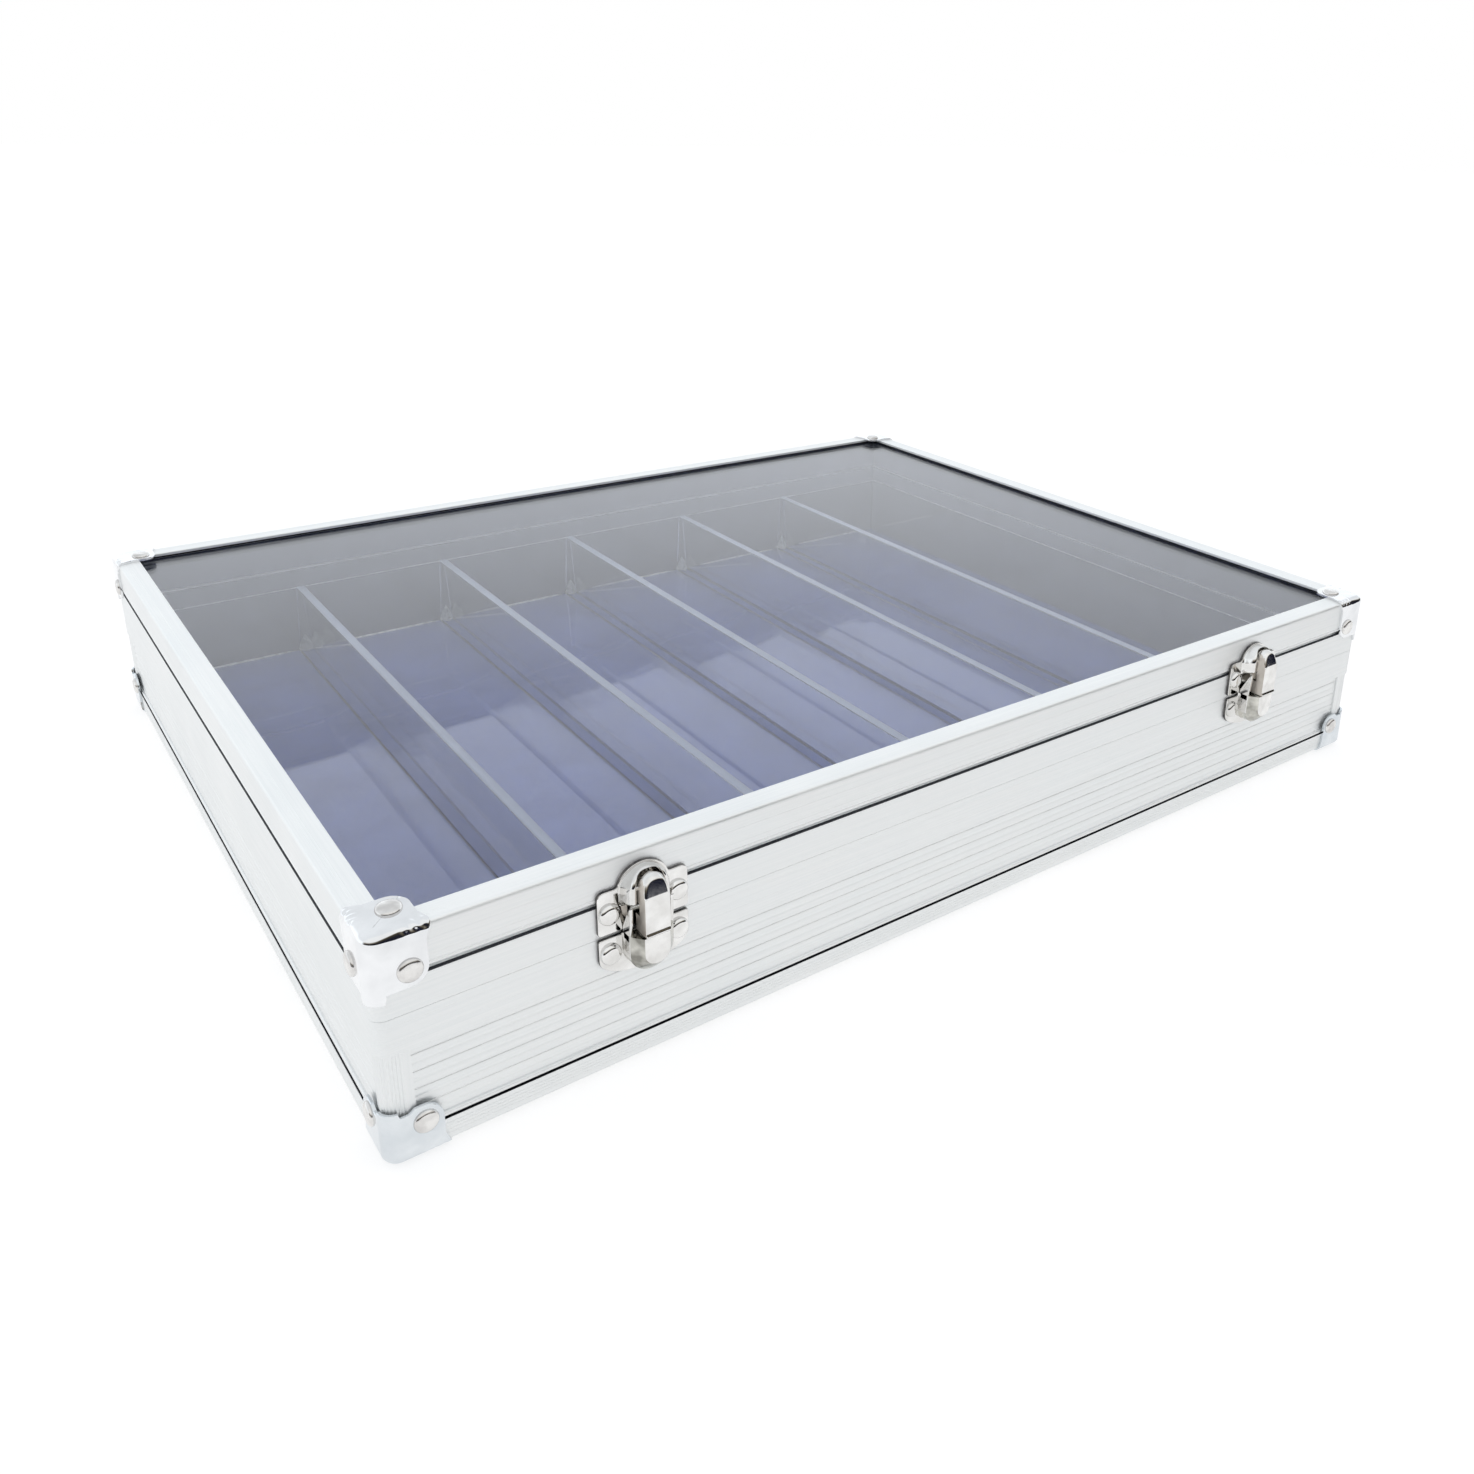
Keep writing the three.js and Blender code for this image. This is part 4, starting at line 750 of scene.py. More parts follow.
# Clear tray: one sheet formed down one wall, over five hollow dividers and up the other wall, with an end
# wall front and back. The sheet is 0.8 mm thick and turns with small radii; its cut edges carry a painted
# highlight and the dividers' tops a painted pale reflection.
TRAY_HALF_LENGTH, TRAY_HALF_DEPTH, TRAY_SHEET = 186.0, 148.0, 0.8
TRAY_TOP, TRAY_FLOOR, FLOOR_TOP = 36.5, 7.82, 7.02
DIVIDER_PITCH, DIVIDER_TOP_WIDE, DIVIDER_FOOT_WIDE, DIVIDER_WALL = 62.0, 3.3, 6.7, 0.82
DIVIDERS = [(i - 2) * DIVIDER_PITCH for i in range(5)]
FLOOR_LIFT, UNDER_LIFT, BEAD_START, BEAD_STOP = 0.35, 0.2, 11, 5.5


def sagging_floor(left, right, level, count=13):
    """Points across one compartment's floor: it lies on the felt in the middle and rises to both sides by
    its lift times |u|^3."""
    u = np.linspace(-1, 1, count)[1:-1]
    across = (left + right) / 2 + (right - left) / 2 * u
    return list(zip(across, level + FLOOR_LIFT * np.abs(u) ** 3))


def tray_outline():
    """Section of the sheet in (across, up): the underside from left to right, then the upper side back
    again."""
    wall, foot, top = TRAY_HALF_LENGTH - TRAY_SHEET, DIVIDER_FOOT_WIDE / 2, DIVIDER_TOP_WIDE / 2
    under, under_round = [(-TRAY_HALF_LENGTH, FLOOR_TOP)], [0.9]
    over = [(-TRAY_HALF_LENGTH, TRAY_TOP), (-wall, TRAY_TOP), (-wall, TRAY_FLOOR)]
    over_round = [0.1, 0.1, 0.8]

    def add_floor(end):
        """Runs both sides of the sheet on over one compartment's floor."""
        for line, rounding, level in ((under, under_round, FLOOR_TOP), (over, over_round, TRAY_FLOOR)):
            floor = sagging_floor(line[-1][0], end, level)
            line += floor
            rounding += [0.5] * len(floor)

    for middle in DIVIDERS:
        add_floor(middle - foot)
        for side, half, low in ((-1, foot, True), (-1, top, False), (1, top, False), (1, foot, True)):
            over.append((middle + side * half, TRAY_FLOOR + FLOOR_LIFT if low else TRAY_TOP))
            inner = middle + side * (half - DIVIDER_WALL)
            under.append((inner, FLOOR_TOP + UNDER_LIFT if low else TRAY_TOP - TRAY_SHEET))
            over_round.append(0.7 if low else 0.4)
            under_round.append(0.3 if low else 0.2)
    add_floor(wall)
    over += [(wall, TRAY_FLOOR), (wall, TRAY_TOP), (TRAY_HALF_LENGTH, TRAY_TOP)]
    over_round += [0.8, 0.1, 0.1]
    under.append((TRAY_HALF_LENGTH, FLOOR_TOP))
    under_round.append(0.9)
    return under + over[::-1], under_round + over_round[::-1]


tray_plastic = clear_material(
    "tray_plastic", (0.985, 0.99, 0.995), (0.0, 0.012), 1.5, (0.97, 0.975, 0.98), (0.25, 0.28, 0.36),
)
# The cut edges, the gussets and the foot beads are a near-white, half-clear plastic: a painted highlight.
painted_highlight = speckled(
    "painted_highlight_plastic", 400.0, (0.80, 0.84, 0.86), (0.95, 0.97, 0.98), (0.2, 0.4),
    Transmission_Weight=0.25,
)
# The dividers' tops are a pale lavender, half-clear plastic: a painted reflection.
painted_pale_reflection = speckled(
    "painted_pale_reflection_plastic", 120.0, (0.60, 0.66, 0.78), (0.72, 0.78, 0.90), (0.3, 0.45),
    Transmission_Weight=0.35, IOR=1.3,
)
tray_points = softened(*tray_outline(), 4)
tray_end = TRAY_HALF_DEPTH - TRAY_SHEET - 0.03
folded = lofted([ring_at(tray_points, 1, y) for y in (-tray_end, tray_end)])
near, far = TRAY_HALF_DEPTH - TRAY_SHEET, TRAY_HALF_DEPTH - 0.05
low, high = TRAY_FLOOR - 0.4, TRAY_TOP - 0.4
wall_points = softened([(near, low), (far, low), (far, high), (near, high)], [0.1, 0.1, 0.25, 0.25])
wall_end = TRAY_HALF_LENGTH - TRAY_SHEET / 2
end_walls = [
    lofted([ring_at(wall_points * (way, 1), 0, x) for x in (-wall_end, wall_end)]) for way in (-1, 1)
]


def tray_looks(centres, normals):
    """The dividers' tops carry a painted pale reflection, and the cut edges round the tray a painted
    highlight.
    """
    edge = (centres[:, 2] > TRAY_TOP - 0.6) & (np.abs(normals[:, 2]) > 0.35)
    inside = np.abs(centres[:, 0]) < TRAY_HALF_LENGTH - 1
    on_divider = edge & inside & (np.abs(centres[:, 1] - CENTRING_SHIFT) < 1)
    return on_divider + 2 * (edge & ~on_divider)


tray = make_piece(
    "formed_tray", joined(folded, *end_walls), [tray_plastic, painted_pale_reflection, painted_highlight], "base",
    ["divider_tray"], sharp=50,
)
paint_faces(tray, tray_looks)
WALL_FACE, FLOOR_FACE = TRAY_HALF_DEPTH - TRAY_SHEET - 0.06, TRAY_FLOOR + 0.03


def tent(x, way, wide=8.0, tall=7.0, nose=3.2):
    """Small folded gusset at a divider's end: a rounded triangle on the end wall that shrinks evenly to a
    nose on the floor."""
    triangle = softened([(-wide / 2, 0), (wide / 2, 0), (0, tall)], [0.8, 0.8, 0.6], 3)
    rings = []
    for out, size in ((0, 1.0), (0.35, 0.97), (nose * 0.5, 0.55), (nose, 0.05)):
        rings.append(ring_at(triangle * size + (x, FLOOR_FACE), 1, way * (WALL_FACE - out)))
    return lofted(rings)


def fillet(x0, x1, way, radius=0.55):
    """Bead in the foot of an end wall: a quarter circle in section, tapering over its ends."""
    angle = np.linspace(0, math.pi / 2, 6)
    corner = np.concatenate([[(0, 0)], np.column_stack([1 - np.sin(angle), 1 - np.cos(angle)])])[:, ::-1]
    rings = []
    for t, size in ((0, 0.1), (0.08, 0.8), (0.2, 1.0), (0.85, 1.0), (0.95, 0.7), (1, 0.1)):
        spot = (corner * radius * size * (-1, 1) + (WALL_FACE, FLOOR_FACE)) * (way, 1)
        rings.append(ring_at(spot, 0, x0 + (x1 - x0) * t))
    return lofted(rings)


edges = [-TRAY_HALF_LENGTH] + DIVIDERS + [TRAY_HALF_LENGTH]
gussets = joined(*[tent(x, way) for x in DIVIDERS for way in (-1, 1)])
beads = joined(*[
    fillet(left + BEAD_START, right - BEAD_STOP, way)
    for left, right in zip(edges[:-1], edges[1:]) for way in (-1, 1)
])
# Gussets and foot beads carry the painted highlight.
make_piece("tray_gussets", gussets, painted_highlight, "base", (), sharp=30)
make_piece("tray_foot_beads", beads, painted_highlight, "base", (), sharp=60)


# Latches: pressed and chromed steel. The upper plate carries the arched hump and the pin, the lever hangs
# from the pin, and the lower plate carries the cup and its two pointed cheeks. Heights are counted from the
# seam, "out" from the case's front.
PIN_RISE, PIN_OUT, LATCH_OFFSET, LATCH_HALF_WIDE, PLATE_FACE = 14.0, 4.6, 123.0, 12.7, 1.0
HALF_SLOT, SLOT_TALL, SLOT_POWER = 3.8, 6.0, 0.55
HUMP_RADIUS, HUMP_CENTRE, HUMP_LOW, HUMP_ROOT = 6.4, 11.8, 7.8, 0.95
latch_chrome = metal(
    "latch_chrome", (260, 260, 260), (0.66, 0.65, 0.63), (0.86, 0.855, 0.84), (0.05, 0.13), 0.12, 90.0,
)
# The lever's sides are a beige, half-metallic chrome: a painted reflection.
painted_reflection_chrome = metal(
    "latch_painted_reflection_chrome", (220, 220, 220), (0.56, 0.50, 0.44), (0.84, 0.79, 0.72), (0.3, 0.45), 0.1, 180.0,
    metallic=0.5,
)
# The plates' rims are a near-black chrome: painted shade and a painted dark reflection.
painted_shade_rim_chrome = metal(
    "latch_rim_painted_shade_chrome", (300, 300, 300), (0.02, 0.02, 0.025), (0.22, 0.21, 0.2), (0.3, 0.5), 0.1, 400.0,
)
# The cup's flanks and the feet of the hump's legs are a darker olive chrome: painted shade.
painted_shade_chrome = metal(
    "latch_painted_shade_chrome", (220, 220, 220), (0.24, 0.235, 0.21), (0.68, 0.67, 0.62), (0.08, 0.2), 0.1, 220.0,
)


def drawn_in(outline, by):
    """Moves a counter-clockwise outline inwards, each point along the normal of the chord between its
    neighbours."""
    chord = np.roll(outline, -1, 0) - np.roll(outline, 1, 0)
    chord = chord / np.maximum(np.linalg.norm(chord, axis=1, keepdims=True), 1e-9)
    return outline + by * np.stack([-chord[:, 1], chord[:, 0]], -1)


def plate(outline, low, high, edge=0.25):
    """A flat plate facing the front: its outline from low to near its face, then a quarter-round edge drawn
    inwards."""
    turn = np.linspace(0, math.pi / 2, 4)
    levels = [(low, 0.0)] + [(high - edge + edge * math.sin(a), edge * (1 - math.cos(a))) for a in turn]
    return lofted([ring_at(drawn_in(outline, by), 1, -out) for out, by in levels])


def arch(angle, half, tall, power):
    """Points on the hump's upright arch: a superellipse |cos|^p, |sin|^p above its centre."""
    x = half * np.sign(np.cos(angle)) * np.abs(np.cos(angle)) ** power
    return np.stack([x, HUMP_CENTRE + tall * np.abs(np.sin(angle)) ** power], -1)


def from_rows(rows):
    """A solid from rows of points that follow each other round a section, with a flat face over each
    end."""
    rows = np.array(rows)
    count, columns = rows.shape[:2]
    faces = grid_faces(count, columns, closed_rows=True)
    faces.append([row * columns for row in range(count)])
    faces.append([row * columns + columns - 1 for row in range(count)][::-1])
    return rows.reshape(-1, 3), faces


def hump():
    """The arched hump between the lever's slot and its own foot: each ring blends from the slot's arch to
    the outer arch by a share and stands at a height "out" along a rounded section. The section sinks by two
    fifths at the top of the arch and fades into the plate by 3s^2 - 2s^3 at the lower ends of the legs."""
    angle = np.linspace(0, math.pi, 37)
    legs = np.linspace(HUMP_LOW, HUMP_CENTRE, 17)[:-1]
    level = np.zeros(len(legs))
    sink = np.concatenate([level, 0.42 * np.sin(angle) ** 2, level])
    s = np.clip((legs - HUMP_LOW) / 2.2, 0, 1)
    fade = 3 * s**2 - 2 * s**3
    fade = np.concatenate([fade, np.ones(len(angle)), fade[::-1]])
    section = [
        (1.22, HUMP_ROOT), (1.16, 1.12), (1.08, 1.5), (1.0, 2.1), (0.92, 2.8), (0.83, 3.5), (0.73, 4.15),
        (0.6, 4.7), (0.46, 5.05), (0.3, 5.2), (0.16, 5.16), (0.06, 5.0), (0.0, 4.7), (0.0, HUMP_ROOT),
    ]
    outer = arch(angle, HUMP_RADIUS, HUMP_RADIUS, 1.0)
    inner = arch(angle, HALF_SLOT, SLOT_TALL, SLOT_POWER)
    rows = []
    for share, out in section:
        ring = inner + (outer - inner) * share
        right = np.column_stack([level + ring[0, 0], legs])
        left = np.column_stack([level + ring[-1, 0], legs[::-1]])
        ring = np.concatenate([right, ring, left])
        height = HUMP_ROOT + (out - HUMP_ROOT) * (1 - sink) * fade
        rows.append(np.column_stack([ring[:, 0], -height, ring[:, 1]]))
    return from_rows(rows)


def upper_plate():
    """The upper plate's outline: two rounded ears and the arch over the hump."""
    reach, ear = HUMP_RADIUS + 1.0, 13.4
    start = math.asin((ear - HUMP_CENTRE) / reach)
    turns = np.linspace(start, math.pi - start, 15)
    over = [(reach * math.cos(a), HUMP_CENTRE + reach * math.sin(a) * 0.93) for a in turns]
    outline = [
        (LATCH_HALF_WIDE, 1.1), (LATCH_HALF_WIDE, ear), *over,
        (-LATCH_HALF_WIDE, ear), (-LATCH_HALF_WIDE, 1.1),
    ]
    rounding = [1.0, 2.2, 0.8] + [0.3] * (len(over) - 2) + [0.8, 2.2, 1.0]
    return plate(softened(outline, rounding, 5), 0, PLATE_FACE)


def latch_rivets(height):
    """Two domed rivet heads, one on each ear of a plate."""
    dome = rivet_dome(2.95, 1.4)
    return [facing(dome, "front", (side * 9.6, -PLATE_FACE, height)) for side in (-1, 1)]


def lever():
    """The lever as a channel: rings stand across a side path that runs up its face, over the crown and down
    behind. Each ring joins a point of the path to its own point on the open back. Its front corners are
    quarter ellipses, small on the face; above it they widen into the crown and leave a flat like a D, whose
    half width is 2.55 times (1 - s^2)^(1/2)."""
    facet = [(8.5 - 0.277 * (up - 12.66), up) for up in np.linspace(12.7, 16.8, 15)]
    path = [
        (8.45, 1.7), (8.75, 1.75), (8.85, 1.95), (8.8, 2.25), (8.55, 2.6), (8.5, 2.9), (8.5, 4.2),
        (8.5, 6.38), (8.5, 6.42), (8.5, 8.2), (8.5, 9.98), (8.5, 10.02), (8.5, 11.4), (8.5, 12.5),
        (8.5, 12.62), *facet, (7.18, 17.02), (6.9, 17.25), (6.55, 17.46), (6.15, 17.6), (5.7, 17.7),
        (5.2, 17.67), (4.8, 17.58), (4.3, 17.45), (3.8, 17.05), (3.5, 16.5),
    ]
    face_top, face_thick, side_thick = 12.6, 1.2, 0.9
    open_back, notch_back, back_top = 3.4, 5.4, 13.4
    rings = []
    for out, up in path:
        notch = 6.4 < up < 10.0 and out > 8
        root_out, root_up = notch_back if notch else open_back, min(up, back_top)
        rise = np.clip((up - 12.7) / 4.15, 0, 1)
        behind = np.clip((7.5 - out) / 4.0, 0, 1) if up > 15.6 else 0
        half = 3.5 - 0.35 * rise**2 - 1.2 * behind**2
        long = math.hypot(out - root_out, up - root_up)
        flat = 3.2 if up < face_top else 2.55 * math.sqrt(max(1 - rise**2, 0.0)) + 0.05
        flat = min(flat, half - 0.25)
        deep = min(0.3 if up < face_top else 0.5 + 1.9 * rise, 0.6 * long)
        turn = np.linspace(0, math.pi / 2, 7)
        left = [(-half + (half - flat) * (1 - math.cos(a)), long - deep * (1 - math.sin(a))) for a in turn]
        right = [(-x, t) for x, t in left[::-1]]
        wall, inside = max(long - face_thick - 0.5 * rise, 0.2), half - side_thick
        inner = [(inside, 0), (inside, wall), (-inside, wall), (-inside, 0)]
        across, along = np.array([(-half, 0), *left, *right, (half, 0), *inner]).T
        share = along / long
        sink, climb = (out - root_out) * share, (up - root_up) * share
        rings.append(np.column_stack([across, -(root_out + sink), root_up + climb]))
    return lofted(rings)


CUP_RIM = 1.0


def cup():
    """The cup: U-shaped rows, straight down from its rim and round below, carried out from the plate along
    the flank, the bevel and the face, and back inside. Each station gives how far out it is, half its width
    and the height of its round centre."""
    stations = [
        (0.8, 6.5, -4.3), (1.2, 6.28, -4.3), (1.8, 6.2, -4.3), (4.4, 6.2, -4.3), (4.62, 6.19, -4.3),
        (4.78, 6.1, -4.28), (4.95, 5.97, -4.26), (7.55, 3.88, -3.66), (7.72, 3.72, -3.62), (7.84, 3.58, -3.6),
        (7.88, 3.35, -3.6), (7.9, 1.5, -3.6), (7.9, 0.001, -3.6), (6.9, 0.001, -3.6), (6.9, 2.7, -3.6),
        (4.2, 5.2, -4.2), (0.8, 5.2, -4.3),
    ]
    angle = np.linspace(math.pi, 2 * math.pi, 25)
    down = np.linspace(CUP_RIM, 0.0, 5)[:-1]
    rows = []
    for out, half, centre in stations:
        height = centre + (CUP_RIM - centre) * down
        x = np.concatenate([np.full(4, -half), half * np.cos(angle), np.full(4, half)])
        z = np.concatenate([height, centre + half * np.sin(angle), height[::-1]])
        rows.append(ring_at(np.column_stack([x, z]), 1, -out))
    return from_rows(rows)


def cheek(side):
    """A pointed cheek beside the lever: a flat outline in (out, up) between two planes, its edges a little
    rounded."""
    outline = softened(
        [(4.7, -0.9), (5.3, 7.6), (5.2, 9.4), (4.1, 7.9), (1.2, 2.2), (0.9, -0.9)],
        [0.2, 0.8, 0.5, 1.2, 0.8, 0.2], 4,
    )
    slices = ((5.2, 0.15), (5.28, 0.03), (5.4, 0.0), (6.0, 0.0), (6.12, 0.03), (6.2, 0.15))
    return lofted([ring_at(drawn_in(outline, by) * (-1, 1), 0, side * x) for x, by in slices])


def lower_plate():
    """The lower plate's outline: a straight top edge and half an ellipse below its shoulders."""
    foot = [(LATCH_HALF_WIDE * math.cos(a), -6.1 - 5.8 * math.sin(a)) for a in np.linspace(0, math.pi, 25)]
    outline = np.array([(LATCH_HALF_WIDE, -0.1), *foot, (-LATCH_HALF_WIDE, -0.1)])[::-1]
    return plate(softened(outline, [0.6] + [0.2] * len(foot) + [0.6], 3), 0, PLATE_FACE)


def moved(surface, place):
    """Moves a surface."""
    points, faces = surface
    return points + place, faces


def latch_looks(name, place, centres, normals):
    """Numbers the painted light: a painted reflection on the lever's sides, painted shade on the cup's flanks
    and the feet of the hump's legs, and the darkest painted shade on the plates' rims."""
    across, out, up = ((centres - place - (0, CENTRING_SHIFT, 0)) * (1, -1, 1)).T
    if name == "latch_lever":
        return np.abs(normals[:, 0]) > 0.8
    if name == "latch_plate":
        painted_light = (np.abs(across) < HUMP_RADIUS) & (out > PLATE_FACE + 0.05) & (up < 9.9)
    else:
        flank = (out > 4.7) | (normals[:, 2] < -0.25)
        painted_light = (np.abs(across) < 6.3) & (out > 1.2) & (out < 7.8) & flank & (up < CUP_RIM + 0.02)
    return painted_light + 2 * ((out < 0.9) & (np.abs(normals[:, 1]) < 0.6))


PIN_RADIUS, PIN_HALF = 0.5, 4.6
for side, way in (("left", -1), ("right", 1)):
    place = (way * LATCH_OFFSET, -HALF_DEPTH, RIM_TOP)
    catch = [lower_plate(), cup(), cheek(-1), cheek(1), *latch_rivets(-4.6)]
    parts = {
        "latch_plate": ("lid", painted_shade_chrome, [upper_plate(), hump(), *latch_rivets(6.9)]),
        "latch_catch": ("base", painted_shade_chrome, catch),
        "latch_lever": (f"lever_{side}", painted_reflection_chrome, [lever()]),
    }
    for name, (body, painted_light, surfaces) in parts.items():
        piece = make_piece(
            f"{name}_pressed_{side}", moved(joined(*surfaces), place), [latch_chrome, painted_light, painted_shade_rim_chrome],
            body, [f"{name}_{side}"], sharp=35,
        )
        paint_faces(piece, lambda centres, normals: latch_looks(name, place, centres, normals))
    slices = ((-PIN_HALF, 0.7), (0.1 - PIN_HALF, 1), (PIN_HALF - 0.1, 1), (PIN_HALF, 0.7))
    pin = lofted([ring_at(circle(20) * PIN_RADIUS * size + (-PIN_OUT, PIN_RISE), 0, x) for x, size in slices])
    make_piece(
        f"latch_pin_turned_{side}", moved(pin, place), latch_chrome, "lid", [f"latch_pin_{side}"],
    )


# Hinges: two plain steel butt hinges on the back, each with rolled knuckles, a round pin and two rivets in
# each leaf.
hinge_steel = metal(
    "hinge_steel", (700, 90, 90), (0.50, 0.51, 0.52), (0.68, 0.685, 0.69), (0.22, 0.4), 0.2, 120.0,
)
HINGE_OFFSET, HINGE_HALF, AXIS_OUT, KNUCKLE, HINGE_PIN = 123.0, 15.0, 2.7, 2.5, 1.2
LEAF_THICK, LEAF_LOW, LEAF_TALL, CURL_END = 1.2, 2.8, 13.0, 3.2


def hinge_bar(radius, x0, x1, edge=0.2, around=28):
    """A round bar along X about the hinge's axis, with its two end edges rounded."""
    slices = [(x0, radius - edge), (x0 + edge * 0.3, radius - edge * 0.3), (x0 + edge, radius)]
    slices += [(x0 + x1 - x, r) for x, r in slices[::-1]]
    return lofted([ring_at(circle(around) * r + (AXIS_OUT, 0), 0, x) for x, r in slices])


def hinge_leaf(up, spans):
    """A leaf: a rounded plate, a curl of sheet from the plate to each knuckle, and the knuckles."""
    low, high = sorted((up * LEAF_LOW, up * LEAF_TALL))
    outline = np.array([(HINGE_HALF, low), (HINGE_HALF, high), (-HINGE_HALF, high), (-HINGE_HALF, low)])
    rounding = [0.3, 1.5, 1.5, 0.3] if up > 0 else [1.5, 0.3, 0.3, 1.5]
    points, faces = plate(softened(outline, rounding, 5), 0, LEAF_THICK, 0.2)
    surfaces = [(points * (1, -1, 1), faces)]
    back = LEAF_THICK - 0.02
    curl = [(0.02, up * CURL_END), (back, up * CURL_END), (LEAF_THICK + 0.3, up * 1.2), (0.4, 0), (0.02, 0)]
    curl = softened(curl, 0.2, 2)
    for x0, x1 in spans:
        surfaces += [hinge_bar(KNUCKLE, x0, x1), lofted([ring_at(curl, 0, x) for x in (x0, x1)])]
    dome = rivet_dome(2.4, 1.1)
    surfaces += [facing(dome, "back", (side * 9.0, LEAF_THICK, (low + high) / 2)) for side in (-1, 1)]
    return joined(*surfaces)


for side, way in (("left", -1), ("right", 1)):
    place = (way * HINGE_OFFSET, HALF_DEPTH, RIM_TOP)
    parts = {
        "hinge_lid_leaf": ("lid", hinge_leaf(1, [(-4.9, 4.9)])),
        "hinge_base_leaf": ("base", hinge_leaf(-1, [(-HINGE_HALF, -5.1), (5.1, HINGE_HALF)])),
        "hinge_pin": ("base", hinge_bar(HINGE_PIN, -HINGE_HALF, HINGE_HALF)),
    }
    for name, (body, surface) in parts.items():
        make_piece(
            f"{name}_rolled_{side}", moved(surface, place), hinge_steel, body, [f"{name}_{side}"],
        )


# Studio: a plain white floor that ends in front of the case, and a white surround. Seen directly in
# polished metal, the room before the case is dark in a band about the horizon, fading through brown and
# beige to white overhead.
FLOOR_HALF, FLOOR_FRONT, FLOOR_GLOW = 6.0, -0.56, 0.64
ground_mesh = bpy.data.meshes.new("studio_floor")
ground_mesh.from_pydata([
    (-FLOOR_HALF, FLOOR_FRONT, 0), (FLOOR_HALF, FLOOR_FRONT, 0),
    (FLOOR_HALF, FLOOR_HALF, 0), (-FLOOR_HALF, FLOOR_HALF, 0),
], [], [(0, 1, 2, 3)])
ground = bpy.data.objects.new("studio_floor", ground_mesh)
scene.collection.objects.link(ground)
ground_material, ground_tree, ground_shader = new_material("studio_floor")
fill(ground_shader, Base_Color=(0.5, 0.5, 0.5, 1), Roughness=1.0, Specular_IOR_Level=0.0)
glow = fill(ground_tree.nodes.new("ShaderNodeEmission"), Color=(1, 1, 1, 1))


def any_of(tree, *flags):
    """The largest of several Light Path flags."""
    path = tree.nodes.new("ShaderNodeLightPath")
    value = path.outputs[flags[0]]
    for flag in flags[1:]:
        value = maths(tree, "MAXIMUM", value, path.outputs[flag])
    return value


glowing = any_of(ground_tree, "Is Camera Ray", "Is Glossy Ray", "Is Transmission Ray")
link(ground_tree, maths(ground_tree, "MULTIPLY", glowing, FLOOR_GLOW), glow.inputs["Strength"])
both = ground_tree.nodes.new("ShaderNodeAddShader")
link(ground_tree, ground_shader.outputs[0], both.inputs[0])
link(ground_tree, glow.outputs[0], both.inputs[1])
link(ground_tree, both.outputs[0], ground_tree.nodes["Material Output"].inputs["Surface"])
ground_mesh.materials.append(ground_material)

# The dark room shows only in rays that reach the surround from the camera by way of one or two polished
# faces. The wall behind the case and everything overhead stay light.
world = bpy.data.worlds.new("studio")
scene.world = world
world.use_nodes = True
sky = world.node_tree
sky.nodes.clear()
direction = sky.nodes.new("ShaderNodeTexCoord")
split = sky.nodes.new("ShaderNodeSeparateXYZ")
link(sky, direction.outputs["Generated"], split.inputs[0])
room = sky.nodes.new("ShaderNodeValToRGB")
room.color_ramp.elements.remove(room.color_ramp.elements[1])
room_colours = [
    (-0.3, (1.06, 1.07, 1.08)), (-0.19, (0.98, 0.99, 1.0)), (-0.13, (0.02, 0.022, 0.04)),
    (0.07, (0.012, 0.013, 0.02)), (0.14, (0.06, 0.052, 0.038)), (0.2, (0.14, 0.12, 0.09)),
    (0.3, (0.42, 0.39, 0.35)), (0.44, (1.03, 1.04, 1.04)),
]
room_low = room_colours[0][0]
room.color_ramp.elements[0].color = (*room_colours[0][1], 1)
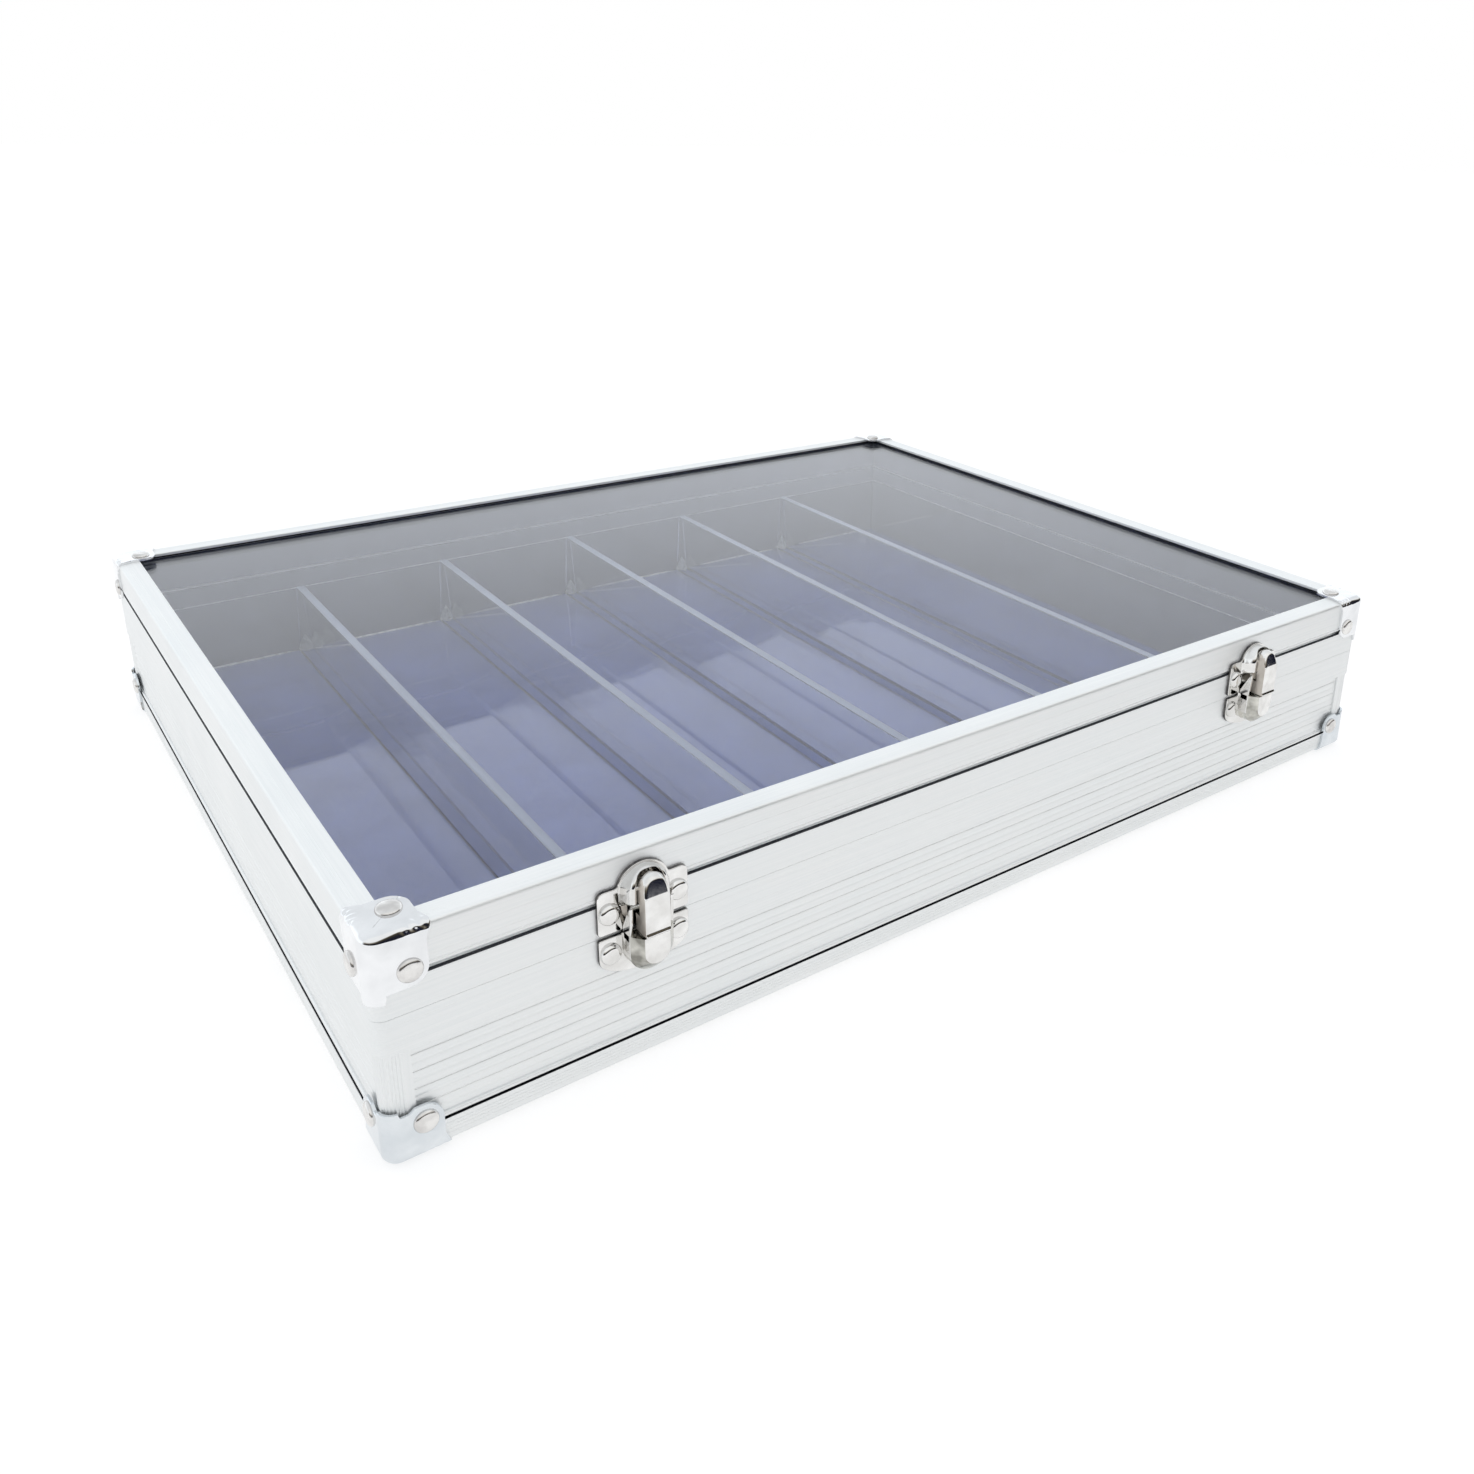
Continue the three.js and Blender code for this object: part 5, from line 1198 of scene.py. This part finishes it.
for height, colour in room_colours[1:]:
    room.color_ramp.elements.new((height - room_low) / (1 - room_low)).color = (*colour, 1)
link(sky, ranged(sky, split.outputs["Z"], 0, 1, room_low, 1), room.inputs["Fac"])
overhead = ranged(sky, split.outputs["Z"], 0, 1, 0.30, 0.50)
behind = blended(sky, overhead, (1.2, 1.25, 1.3), (0.92, 0.95, 0.98))
around = blended(sky, ranged(sky, split.outputs["Y"], 0, 1, -0.3, -0.05), room.outputs["Color"], behind)
passed = blended(sky, any_of(sky, "Is Transmission Ray"), (0.84, 0.85, 0.87), (0.85, 0.87, 0.98))
ray = sky.nodes.new("ShaderNodeLightPath").outputs
mirrored = maths(sky, "SUBTRACT", ray["Is Glossy Ray"], ray["Is Transmission Ray"], clamp=True)
direct = maths(sky, "MULTIPLY", maths(sky, "LESS_THAN", ray["Ray Depth"], 2.5), mirrored)
plain = blended(sky, any_of(sky, "Is Camera Ray"), blended(sky, direct, passed, around), (1, 1, 1))
background = sky.nodes.new("ShaderNodeBackground")
link(sky, plain, background.inputs["Color"])
sky_out = sky.nodes.new("ShaderNodeOutputWorld")
link(sky, background.outputs[0], sky_out.inputs["Surface"])

# Camera: stands above the case's front left corner, where the photograph was taken from.
camera = bpy.data.cameras.new("photo_view")
camera.sensor_width = camera.sensor_height = 36.0
camera.sensor_fit = "HORIZONTAL"
camera.lens, camera.shift_x, camera.shift_y = 31.5253, -0.0778218, -0.1127902
camera.clip_start = 0.01
camera_object = bpy.data.objects.new("photo_view", camera)
scene.collection.objects.link(camera_object)
camera_object.matrix_world = Matrix((
    (0.796560, 0.185948, -0.575253, -0.251875),
    (-0.604019, 0.285033, -0.744257, -0.399251),
    (0.025573, 0.940308, 0.339362, 0.237106),
    (0, 0, 0, 1),
))
scene.camera = camera_object

scene.view_settings.view_transform = "Standard"
scene.cycles.use_denoising = True
scene.cycles.max_bounces = 16
scene.cycles.transmission_bounces = 16
scene.cycles.transparent_max_bounces = 24
scene.cycles.glossy_bounces = 6
scene.cycles.diffuse_bounces = 4

bpy.context.view_layer.update()
